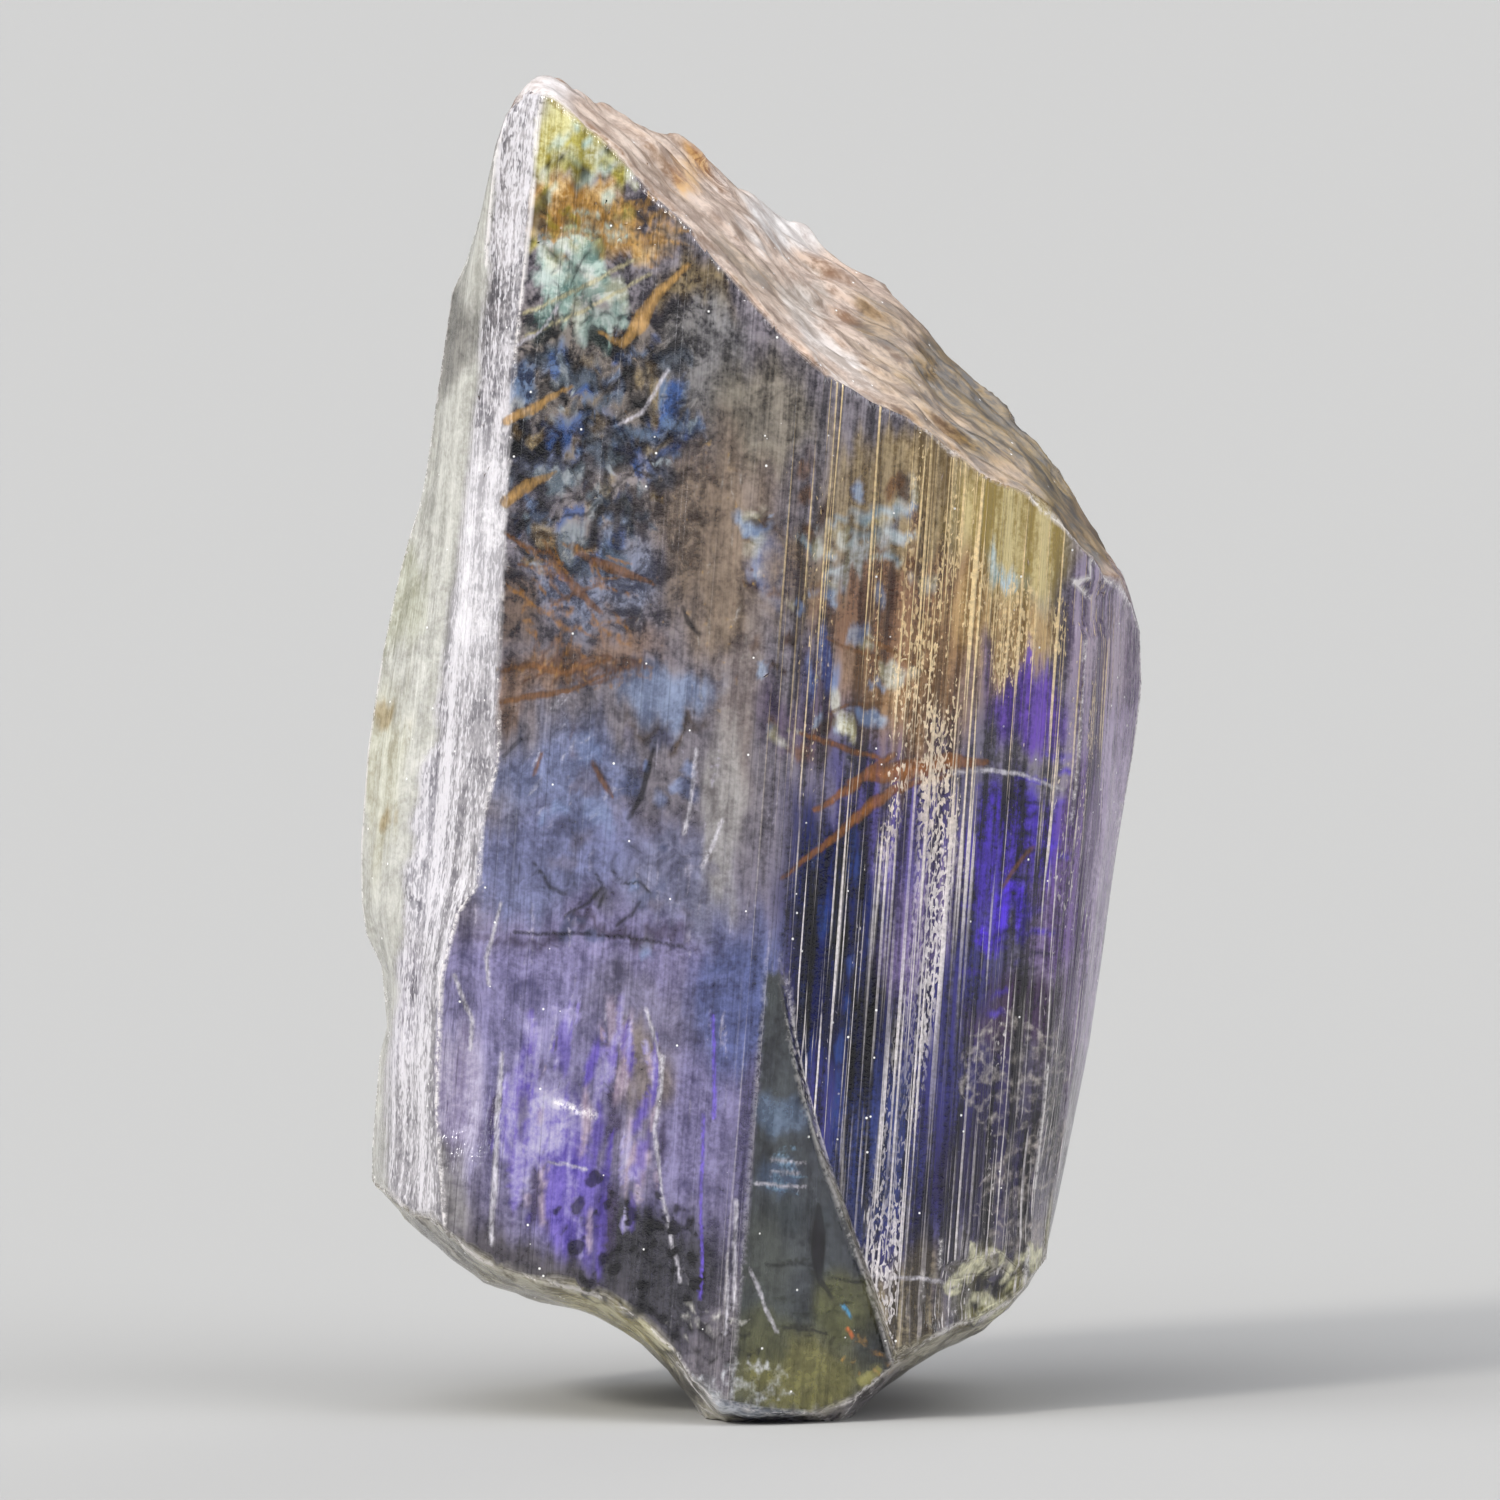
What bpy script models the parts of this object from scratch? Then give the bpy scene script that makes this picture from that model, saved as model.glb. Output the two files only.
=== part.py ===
"""Rough tanzanite crystal: a striated prism with a slanting, pitted end and a broken foot.

Metres, +Z up.  X runs left to right as the crystal is seen from the front, Y runs into its depth,
and the origin lies under the middle of its box, on the surface that it stands on.
The stone is one solid: a stack of level sections, trimmed above by the rough slanting end
and below by the break, which is worn flat on one small spot.
"""
import math
import random

import bmesh
import bpy
import numpy as np
from mathutils import Vector, noise
from mathutils.geometry import delaunay_2d_cdt, intersect_point_line

for item in list(bpy.data.objects):
    bpy.data.objects.remove(item, do_unlink=True)

MM = 0.001

# Real sizes, in millimetres: the crystal is 24.7 tall and 14.5 wide, and this deep
FRONT = -5.2            # depth of the foremost edge
BACK = 5.2              # depth of the rearmost edge

# Mesh fineness, in millimetres
LEVELS = 36             # level sections between the break and the slanting end
SECTION_STEP = 0.1
CAP_SPACING = 0.62      # between the points of the slanting end and of the break
CAP_JITTER = 0.12
CAP_REACH = 17.0

# Relief, in millimetres
LUMP_SIZE = 1.9
LUMP_HEIGHT = 0.2
PIT_SIZE = 1.0
PIT_DEPTH = 0.16
LEDGE_RUN = 1.3         # down the slope from one ledge of the slanting end to the next
LEDGE_HEIGHT = 0.17
LEDGE_TURN = 0.25       # the ledges run a little across the slope
LEDGE_INLAND = 3.0      # they reach their height this far behind the front edge
KNOB = (-1.25, 1.6, 0.75, 1.5, 0.3)     # the knob near the top: across, depth, half sizes, height
BREAK_LUMP_SIZE = 1.3
BREAK_LUMP_HEIGHT = 0.12
STRIP_WIDTH = 0.3       # a rib is lower where its strip is narrower than this

# Front edge of the slanting end, seen from the front: across, height
END_FRONT = [(-4.6, 23.6), (-4.15, 24.15), (-3.85, 24.25), (-3.4, 24.0), (-2.9, 23.5), (-2.2, 22.9),
             (-1.65, 22.5), (-0.8, 21.55), (0.0, 20.6), (0.8, 19.75), (1.4, 19.25), (2.4, 18.7),
             (2.95, 18.4), (3.6, 17.75), (4.1, 17.5), (5.1, 16.8), (5.95, 16.0), (6.6, 15.3),
             (7.05, 14.8), (7.4, 13.4)]

# How much the slanting end rises towards the back: across, rise per millimetre
END_RISE = [(-4.0, 0.17), (-1.0, 0.175), (0.3, 0.215), (2.4, 0.205), (3.6, 0.17), (5.5, 0.135), (6.5, 0.06)]

# Lower outline of the break, seen from the front: across, height
BREAK_OUTLINE = [(-7.4, 4.9), (-7.0, 4.2), (-6.8, 3.8), (-6.4, 3.4), (-5.4, 2.62), (-4.9, 2.3),
                 (-4.3, 2.06), (-3.4, 1.95), (-2.7, 1.8), (-1.95, 1.3), (-1.25, 0.6),
                 (-0.95, 0.0), (-0.6, -0.3), (1.6, -0.3), (1.95, 0.0), (2.25, 0.35), (2.9, 0.75),
                 (3.6, 1.15), (4.4, 1.5), (5.1, 2.05), (5.5, 2.8), (6.2, 4.6)]
FRONT_BEVEL = (0.5, 1.7)        # the break turns up by this height over this depth, at the front
FRONT_BEVEL_START = -3.1
FRONT_BEVEL_CURVE = 0.05
BACK_BEVEL = (2.2, 3.0)         # and at the back

# Where each edge of the prism runs: (height, across, depth), from the foot up
LEFT_EDGE = [(0.0, -7.05, -0.6), (4.7, -7.02, -0.6), (6.6, -6.86, -0.7), (7.05, -6.72, -0.7),
             (8.4, -6.86, -0.7), (8.85, -7.2, -0.5), (10.3, -7.23, -0.5), (12.2, -7.08, -0.5),
             (14.0, -6.78, -0.5), (15.9, -6.38, -0.6), (16.9, -6.05, -0.8), (18.6, -5.8, -1.0),
             (20.7, -5.5, -1.3), (21.3, -5.2, -1.6), (22.4, -4.88, -2.0), (23.3, -4.68, -2.3),
             (24.1, -4.4, -2.6), (24.6, -4.05, -2.8), (26.0, -3.0, -3.0)]
LEFT_LEDGE = [(0.0, -6.75, -1.9), (6.5, -6.6, -1.9), (8.4, -6.5, -1.9), (8.85, -6.75, -1.7),
              (12.0, -6.45, -1.7), (16.0, -5.8, -1.8), (17.2, -5.6, -2.0), (20.8, -5.25, -2.1),
              (21.4, -5.1, -2.3), (23.3, -4.7, -2.6), (24.1, -4.42, -2.8), (24.6, -4.08, -2.95),
              (26.0, -3.05, -3.1)]
STRIP_LEFT = [(0.0, -6.2, -2.9), (6.5, -6.15, -2.85), (8.3, -6.0, -2.8), (10.8, -5.62, -2.75),
              (13.5, -5.42, -2.75), (16.1, -5.2, -2.8), (19.6, -4.94, -2.85), (22.0, -4.8, -2.95),
              (23.3, -4.68, -3.05), (24.1, -4.42, -3.15), (24.6, -4.1, -3.2), (26.0, -3.1, -3.3)]
STRIP_RIGHT = [(0.0, -5.5, -3.7), (2.7, -5.55, -3.7), (5.7, -5.78, -3.6), (8.2, -5.68, -3.55),
               (9.4, -5.36, -3.6), (9.8, -4.99, -3.75), (11.0, -4.93, -3.75), (12.2, -4.62, -3.8),
               (14.0, -4.62, -3.75), (16.1, -4.5, -3.75), (19.5, -4.32, -3.7), (22.4, -4.0, -3.7),
               (24.2, -3.86, -3.65), (26.0, -3.6, -3.6)]
FRONT_EDGE = [(0.0, -0.4, FRONT), (8.3, 0.3, FRONT), (19.2, 1.05, FRONT), (26.0, 1.5, FRONT)]
STRIAE_RIGHT = [(0.0, 3.3, -4.3), (13.1, 4.1, -4.3), (18.0, 4.4, -4.3), (26.0, 4.9, -4.3)]
DARK_RIGHT = [(0.0, 4.8, -3.0), (5.7, 5.4, -2.95), (9.4, 5.75, -2.9), (12.0, 6.05, -2.9),
              (14.6, 6.22, -2.9), (26.0, 6.9, -2.9)]
PANE_RIGHT = [(0.0, 5.2, -1.9), (3.6, 5.55, -1.8), (6.9, 6.1, -1.7), (10.8, 6.57, -1.6),
              (14.0, 6.73, -1.6), (26.0, 7.3, -1.6)]
RIGHT_EDGE = [(0.0, 5.0, -0.2), (2.7, 5.48, -0.2), (4.3, 5.82, -0.2), (6.6, 6.27, -0.2),
              (8.4, 6.55, -0.2), (10.3, 6.82, -0.2), (12.2, 7.12, -0.2), (13.3, 7.25, -0.2),
              (14.2, 7.22, -0.2), (26.0, 7.3, -0.2)]
BACK_RIGHT = [(0.0, 5.1, 1.8), (6.0, 5.9, 2.2), (13.0, 6.75, 2.2), (26.0, 7.2, 1.9)]
BACK_CORNER = [(0.0, 3.7, 4.4), (6.0, 4.3, 4.9), (13.0, 4.9, 4.9), (19.0, 4.7, 4.3), (26.0, 4.8, 4.0)]
BACK_EDGE = [(0.0, -0.9, 4.9), (6.0, -0.5, BACK), (14.0, 0.1, BACK), (20.0, 0.9, BACK), (26.0, 1.5, BACK)]
BACK_LEFT = [(0.0, -4.6, 2.6), (4.0, -5.0, 3.1), (11.0, -4.7, 3.3), (16.0, -3.6, 2.9),
             (20.0, -2.6, 2.0), (23.0, -2.6, 0.4), (24.2, -2.9, -0.8), (26.0, -2.6, -1.4)]
LEFT_BACK = [(0.0, -6.6, 0.9), (4.0, -6.7, 1.0), (8.4, -6.6, 1.0), (8.9, -6.85, 1.1),
             (13.0, -6.4, 1.1), (17.0, -5.5, 0.5), (20.8, -4.9, -0.2), (21.4, -4.7, -0.5),
             (23.2, -4.3, -1.3), (24.2, -3.9, -2.0), (26.0, -2.9, -2.4)]

# The cleavage pane low on the front face: its right side runs down and to the right as a small step
PANE_TOP = 8.3
PANE_STEP = 0.42
PANE_STEP_WIDTH = 0.12
STRIAE_PINCH = 0.035    # the striae run straight until the pane cuts them off, this close together
PANE_SIDE = [(0.0, 2.85), (1.1, 2.62), (2.2, 2.28), (3.15, 1.95), (3.9, 1.68), (4.9, 1.3),
             (6.5, 0.85), (8.3, 0.5), (19.2, 1.3), (26.0, 1.8)]

# Shell-shaped chips on the front: across, height, half width, half height, depth
CHIPS = [(-5.25, 6.4, 0.85, 1.9, 0.3), (-6.3, 5.2, 0.6, 1.3, 0.16), (4.2, 2.2, 1.1, 0.9, 0.3),
         (6.35, 14.9, 0.35, 0.45, 0.3), (5.2, 4.3, 0.5, 1.4, 0.14)]

# Cleavage slabs that have come away from the back: left, right, bottom, top, depth
SLABS = [(-4.2, 1.4, -1.0, 8.3, 0.5), (1.6, 4.4, 5.5, 14.6, 0.22), (-4.6, -1.7, 12.2, 19.0, 0.35),
         (-7.0, -4.9, 2.0, 6.0, 0.3)]
SLAB_EDGE = 0.35        # width of the broken edge round a slab

COLOUR = (0.24, 0.22, 0.46, 1.0)
ROUGHNESS = 0.12
INDEX = 1.69


def along(profile, place, column=1):
    """Read a profile, a list of points, at one place between its first values."""
    return float(np.interp(place, [point[0] for point in profile], [point[column] for point in profile]))


def edge_at(edge, height):
    """Across and depth of an edge of the prism at one height."""
    return along(edge, height, 1), along(edge, height, 2)


def pane_edges(height):
    """The foot and the top of the step at the pane's right side."""
    left, front = edge_at(FRONT_EDGE, height)
    right, rear = edge_at(STRIAE_RIGHT, height)
    side = along(PANE_SIDE, height)
    top = side + PANE_STEP_WIDTH
    fall = (rear - front) / (right - left)
    step = PANE_STEP * math.sqrt(max(0.0, 1.0 - max(0.0, height) / PANE_TOP))
    foot_depth = front + (side - left) * fall + step
    top_depth = front + (top - left) * fall
    return (side, foot_depth), (top, top_depth)


def corner(name, height):
    """Across and depth of a corner of the section at one height."""
    if name == "pane foot":
        return pane_edges(height)[0]
    if name == "pane top":
        return pane_edges(height)[1]
    return edge_at(EDGES[name], height)


EDGES = {"strip left": STRIP_LEFT, "strip right": STRIP_RIGHT, "front": FRONT_EDGE,
         "striae right": STRIAE_RIGHT, "dark right": DARK_RIGHT, "window right": PANE_RIGHT,
         "right": RIGHT_EDGE, "back right": BACK_RIGHT, "back corner": BACK_CORNER,
         "back": BACK_EDGE, "back left": BACK_LEFT, "left back": LEFT_BACK, "left": LEFT_EDGE,
         "left ledge": LEFT_LEDGE}

# Faces in order round the section: first corner, number of strips, rib height
FACES = [("strip left", 3, 0.02), ("strip right", 16, 0.012), ("front", 4, 0.0),
         ("pane foot", 1, 0.0), ("pane top", 12, 0.07), ("striae right", 6, 0.05),
         ("dark right", 2, 0.02), ("window right", 3, 0.02), ("right", 5, 0.05),
         ("back right", 6, 0.06), ("back corner", 8, 0.05), ("back", 9, 0.06),
         ("back left", 5, 0.05), ("left back", 4, 0.05), ("left", 4, 0.04), ("left ledge", 3, 0.03)]


def bumps(across, depth, size, layer):
    """Smooth random heights between -1 and 1 over a plane, lumps of the given size."""
    return noise.noise(Vector((across / size, depth / size, layer)))


def end_height(across, depth):
    """Height of the slanting end: a leaning plane with ledges, lumps and pits."""
    height = along(END_FRONT, across) + along(END_RISE, across) * (depth - FRONT)
    inland = min(1.0, max(0.0, (depth - FRONT) / LEDGE_INLAND))
    down = (across - LEDGE_TURN * depth) / LEDGE_RUN + 0.8 * bumps(across, depth, 2.6, 5.0)
    height += LEDGE_HEIGHT * inland * (down - math.floor(down) - 0.5)
    height += LUMP_HEIGHT * bumps(across, depth, LUMP_SIZE, 1.0)
    height -= PIT_DEPTH * 2.0 * max(0.0, bumps(across, depth, PIT_SIZE, 9.0) - 0.1)
    middle, level, half_width, half_depth, knob_height = KNOB
    away = ((across - middle) / half_width) ** 2 + ((depth - level) / half_depth) ** 2
    height += knob_height * max(0.0, 1.0 - away)
    return height


def break_height(across, depth):
    """Height of the break under the crystal, before its lowest part is worn flat."""
    height = along(BREAK_OUTLINE, across)
    rise, run = FRONT_BEVEL
    bevel_start = FRONT_BEVEL_START + FRONT_BEVEL_CURVE * across ** 2
    height += rise * max(0.0, (bevel_start - depth) / run)
    rise, run = BACK_BEVEL
    height += rise * max(0.0, (depth - (BACK - run)) / run) ** 1.5
    if height > 0.1:
        height += BREAK_LUMP_HEIGHT * bumps(across, depth, BREAK_LUMP_SIZE, 21.0)
    return height


def strip_line(name, start, end, share, strip, height):
    """Where a strip of a face begins: part of the way from one corner to the next."""
    if name != "pane top":
        return start + (end - start) * share
    front = np.array(corner("front", height))
    straight = front + (end - front) * (0.1 + 0.9 * share)
    shortest = start + (end - start) * min(1.0, strip * STRIAE_PINCH / math.dist(start, end))
    return straight if straight[0] > shortest[0] else shortest


def section(height):
    """The closed outline of the crystal at one height, with its ribs, as across and depth."""
    outline = []
    for number, (name, strips, rib) in enumerate(FACES):
        start = np.array(corner(name, height))
        following = FACES[(number + 1) % len(FACES)][0]
        end = np.array(corner(following, height))
        points = [start]
        for strip in range(1, strips):
            points.append(strip_line(name, start, end, strip / strips, strip, height))
        along = end - start
        outward = np.array((along[1], -along[0])) / max(1e-6, math.dist(start, end))
        ribs = random.Random(number)
        outline.append(start)
        for before, point in zip(points, points[1:]):
            rib_height = rib * min(1.0, math.dist(before, point) / STRIP_WIDTH)
            outline.append(point + outward * rib_height * ribs.uniform(-1.0, 1.0))
    return outline


def meeting_height(line, heights, surface):
    """Height at which one line up the side meets an end, looking from the first height to the last."""
    before = None
    for point, height in zip(line, heights):
        gap = height - surface(point[0], point[1])
        if before is not None and before[1] * gap <= 0.0:
            share = before[1] / (before[1] - gap)
            return before[0] + share * (height - before[0])
        before = (height, gap)
    return heights[-1]


def chipped(across, depth, height):
    """Depth of a side point after chips have come away in front and slabs behind."""
    if depth < 0.5:
        for middle, level, half_width, half_height, deep in CHIPS:
            away = ((across - middle) / half_width) ** 2 + ((height - level) / half_height) ** 2
            depth += deep * max(0.0, 1.0 - away)
        return depth
    for left, right, bottom, top, deep in SLABS:
        wander = 0.5 * bumps(across, height, 1.4, 30.0)
        inside = min(across - left, right - across, height - bottom + wander, top - height + wander)
        depth -= deep * min(1.0, max(0.0, inside / SLAB_EDGE))
    return depth


def inner_points(rim):
    """Points inside an end's rim, on a loose triangular grid."""
    jitter = random.Random(11)
    points = []
    row_step = CAP_SPACING * math.sqrt(0.75)
    rows = int(CAP_REACH / row_step)
    for row in range(-rows // 2, rows // 2):
        for place in range(-rows // 2, rows // 2):
            across = (place + 0.5 * (row % 2)) * CAP_SPACING + jitter.uniform(-CAP_JITTER, CAP_JITTER)
            depth = row * row_step + jitter.uniform(-CAP_JITTER, CAP_JITTER)
            if is_inside(across, depth, rim):
                points.append((across, depth))
    return points


def is_inside(across, depth, rim):
    """Whether a point is inside the rim, and not too near to it."""
    inside = False
    for start, end in zip(rim, rim[1:] + rim[:1]):
        if (start[1] > depth) != (end[1] > depth):
            crossing = start[0] + (depth - start[1]) / (end[1] - start[1]) * (end[0] - start[0])
            if across < crossing:
                inside = not inside
        near, share = intersect_point_line((across, depth), start, end)
        share = min(1.0, max(0.0, share))
        near = Vector(start).lerp(Vector(end), share)
        if (near - Vector((across, depth))).length < 0.5 * CAP_SPACING:
            return False
    return inside


def close_end(vertices, faces, rim_start, columns, surface, upwards):
    """Close one end with triangles whose inner corners lie on the end's surface."""
    rim = [tuple(vertices[rim_start + column][:2]) for column in range(columns)]
    inner = inner_points(rim)
    points = [Vector(point) for point in rim + inner]
    result = delaunay_2d_cdt(points, [], [list(range(columns))], 1, 1e-6)
    numbers = list(range(rim_start, rim_start + columns))
    for across, depth in inner:
        numbers.append(len(vertices))
        vertices.append((across, depth, surface(across, depth)))
    origins = result[3]
    for triangle in result[2]:
        face = [numbers[origins[corner_number][0]] for corner_number in triangle]
        faces.append(face if upwards else face[::-1])


def crystal_mesh():
    """Vertices in millimetres and faces of the whole crystal, before its foot is worn flat."""
    heights = np.arange(-1.0, 26.0, SECTION_STEP)
    outlines = np.array([section(height) for height in heights])
    columns = outlines.shape[1]
    middle = len(heights) // 2
    vertices = []
    faces = []
    lines = []
    for column in range(columns):
        line = outlines[:, column]
        low = meeting_height(line[middle::-1], heights[middle::-1], break_height)
        high = meeting_height(line[middle:], heights[middle:], end_height)
        lines.append((line, low, high))
    for level in range(LEVELS + 1):
        for line, low, high in lines:
            height = low + (high - low) * level / LEVELS
            across = float(np.interp(height, heights, line[:, 0]))
            depth = float(np.interp(height, heights, line[:, 1]))
            vertices.append((across, chipped(across, depth, height), float(height)))
    for level in range(LEVELS):
        for column in range(columns):
            following = (column + 1) % columns
            low = level * columns
            high = low + columns
            faces.append((low + column, low + following, high + following, high + column))
    close_end(vertices, faces, LEVELS * columns, columns, end_height, True)
    close_end(vertices, faces, 0, columns, break_height, False)
    return vertices, faces


def stone_material():
    material = bpy.data.materials.new("tanzanite")
    material.use_nodes = True
    shader = material.node_tree.nodes["Principled BSDF"]
    shader.inputs["Base Color"].default_value = COLOUR
    shader.inputs["Roughness"].default_value = ROUGHNESS
    shader.inputs["Metallic"].default_value = 0.0
    shader.inputs["IOR"].default_value = INDEX
    shader.inputs["Transmission Weight"].default_value = 0.8
    return material


def make_crystal():
    vertices, faces = crystal_mesh()
    shape = bmesh.new()
    points = [shape.verts.new(Vector(vertex) * MM) for vertex in vertices]
    for face in faces:
        shape.faces.new([points[index] for index in face])
    everything = shape.verts[:] + shape.edges[:] + shape.faces[:]
    cut = bmesh.ops.bisect_plane(shape, geom=everything, dist=1e-7, plane_co=(0.0, 0.0, 0.0),
                                 plane_no=(0.0, 0.0, 1.0), clear_inner=True)
    rim = [item for item in cut["geom_cut"] if isinstance(item, bmesh.types.BMEdge)]
    bmesh.ops.contextual_create(shape, geom=rim)
    bmesh.ops.remove_doubles(shape, verts=shape.verts[:], dist=2e-6)
    bmesh.ops.recalc_face_normals(shape, faces=shape.faces[:])
    bmesh.ops.triangulate(shape, faces=shape.faces[:])
    mesh = bpy.data.meshes.new("crystal")
    shape.to_mesh(mesh)
    shape.free()
    mesh.materials.append(stone_material())
    crystal = bpy.data.objects.new("crystal", mesh)
    bpy.context.scene.collection.objects.link(crystal)
    return crystal


make_crystal()
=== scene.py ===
# Rough tanzanite crystal: the looks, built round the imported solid.
import math
import random

import bmesh
import bpy
import numpy as np
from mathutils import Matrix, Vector, noise


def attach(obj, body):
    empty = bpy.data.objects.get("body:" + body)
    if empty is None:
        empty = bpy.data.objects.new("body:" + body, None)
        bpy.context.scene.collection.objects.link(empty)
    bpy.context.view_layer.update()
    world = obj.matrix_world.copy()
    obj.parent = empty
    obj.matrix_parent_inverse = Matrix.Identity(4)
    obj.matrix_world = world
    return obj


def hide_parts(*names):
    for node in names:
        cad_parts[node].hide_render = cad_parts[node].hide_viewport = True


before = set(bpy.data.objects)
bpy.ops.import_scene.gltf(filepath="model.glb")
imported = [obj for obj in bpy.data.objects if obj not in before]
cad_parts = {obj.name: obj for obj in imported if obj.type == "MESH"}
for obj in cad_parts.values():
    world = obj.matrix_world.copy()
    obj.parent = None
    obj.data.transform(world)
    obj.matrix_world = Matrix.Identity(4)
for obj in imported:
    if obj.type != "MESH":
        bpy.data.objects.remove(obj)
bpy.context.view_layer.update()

mm = 0.001
leanDegrees = 4.2            # the prism edges lean to the right by this much
leanSlope = math.tan(math.radians(leanDegrees))


def linearColour(hexColour):
    # sRGB hex to linear, with alpha 1
    parts = [int(hexColour[place:place + 2], 16) / 255 for place in (1, 3, 5)]
    return tuple(part / 12.92 if part <= 0.04045 else ((part + 0.055) / 1.055) ** 2.4 for part in parts) + (1.0,)


def addNode(tree, kind, settings=None, inputs=None, out=0):
    # one node (its kind without the usual prefix), its settings, and its inputs: plain values or sockets to link
    made = tree.nodes.new("ShaderNode" + kind)
    for name, value in (settings or {}).items():
        setattr(made, name, value)
    for name, value in (inputs or {}).items():
        if isinstance(value, bpy.types.NodeSocket):
            tree.links.new(value, made.inputs[name])
        else:
            made.inputs[name].default_value = value
    return made.outputs[out]


def newMaterial(name):
    material = bpy.data.materials.new(name)
    material.use_nodes = True
    tree = material.node_tree
    return material, tree, tree.nodes["Principled BSDF"]


def newPiece(name, mesh, material):
    mesh.materials.append(material)
    piece = bpy.data.objects.new(name, mesh)
    bpy.context.scene.collection.objects.link(piece)
    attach(piece, "root")
    print(name, len(mesh.polygons), "faces")
    return piece


def along(profile, place, column=1):
    return float(np.interp(place, [point[0] for point in profile], [point[column] for point in profile]))


def smooth(low, high, value):
    share = min(1.0, max(0.0, (value - low) / (high - low)))
    return share * share * (3.0 - 2.0 * share)


# The stone: a finer copy of the solid, with its striae, pits and lumps
stone = {
    "frontSide": 0.16,              # longest triangle side on the front
    "veinSide": 0.075,              # beside a painted ribbon or crack
    "leastVein": 0.085,               # a thinner ribbon or crack is drawn this wide so that it shows
    "endSide": 0.2,                 # on the rough end
    "backSide": 0.5,                # and elsewhere
    "stripLeft": [(0.0, -6.9), (5.7, -6.75), (7.5, -6.55), (9.4, -6.35), (10.8, -6.2), (13.1, -5.75),
                  (16.8, -5.25), (20.5, -4.85), (22.0, -4.75), (24.0, -4.6), (26.0, -4.5)],
    "stripRight": [(0.0, -5.5), (2.7, -5.55), (5.7, -5.78), (8.2, -5.68), (9.4, -5.36), (9.8, -4.99),
                   (11.0, -4.93), (12.2, -4.62), (14.0, -4.62), (16.1, -4.5), (19.5, -4.32),
                   (22.4, -4.0), (24.2, -3.86), (26.0, -3.6)],
    "frontEdge": [(0.0, -0.4), (8.3, 0.3), (19.2, 1.05), (26.0, 1.5)],
    "paneSide": [(0.0, 2.85), (1.1, 2.62), (2.2, 2.28), (3.15, 1.95), (3.9, 1.68), (4.9, 1.3),
                 (6.5, 0.85), (8.3, 0.5)],
    "paneTop": 8.3,
    "endChipSize": 1.3, "endChipDepth": 0.16,
    "endFlakeSize": 0.45, "endFlakeDepth": 0.03,
    "endLedgeWidth": 0.7, "endLedgeDepth": 0.14,
    "footGrainSize": 0.5, "footGrainDepth": 0.035,
    "striaWidth": 0.3, "striaDepth": 0.022,
    "sideLumpSize": 1.6, "sideLumpDepth": 0.02,
}


def regionsOf(point, normal):
    # how much a point belongs to each region of the skin
    across, depth, height = point
    front = smooth(-1.0, -1.8, depth)
    end = smooth(0.35, 0.6, normal[2]) * smooth(13.0, 14.0, height)
    foot = smooth(-0.2, -0.5, normal[2]) * smooth(7.0, 5.5, height)
    side = (1.0 - end) * (1.0 - foot)
    ragged = (0.08 + 0.17 * smooth(15.0, 12.0, height)) * noise.noise(Vector((across * 0.5, 3.0, height * 1.4)))
    left = smooth(0.05, -0.07, across - along(stone["stripRight"], height) - ragged * 0.3) * smooth(2.5, 0.0, depth)
    onStrip = smooth(-0.12, 0.08, across - along(stone["stripLeft"], height) + ragged) * smooth(-0.5, -2.0, depth)
    pane = 0.0
    if height < stone["paneTop"]:
        inside = min(across - along(stone["frontEdge"], height), along(stone["paneSide"], height) + 0.05 - across)
        pane = smooth(-0.02, 0.04, inside) * front * side
    striae = smooth(-0.6, 0.3, across - along(stone["frontEdge"], height)) * front * side * (1.0 - pane)
    return {"frost": left * onStrip * side, "rim": left * (1.0 - onStrip) * side, "end": end, "foot": foot,
            "pane": pane, "striae": striae}


def stretchedNoise(point, size, length, layer):
    # noise drawn out along the leaning prism: size across it, length along it, in mm
    across = point[0] - leanSlope * point[2]
    return noise.noise(Vector((across / size, point[1] / size, point[2] / length + layer)))


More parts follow.
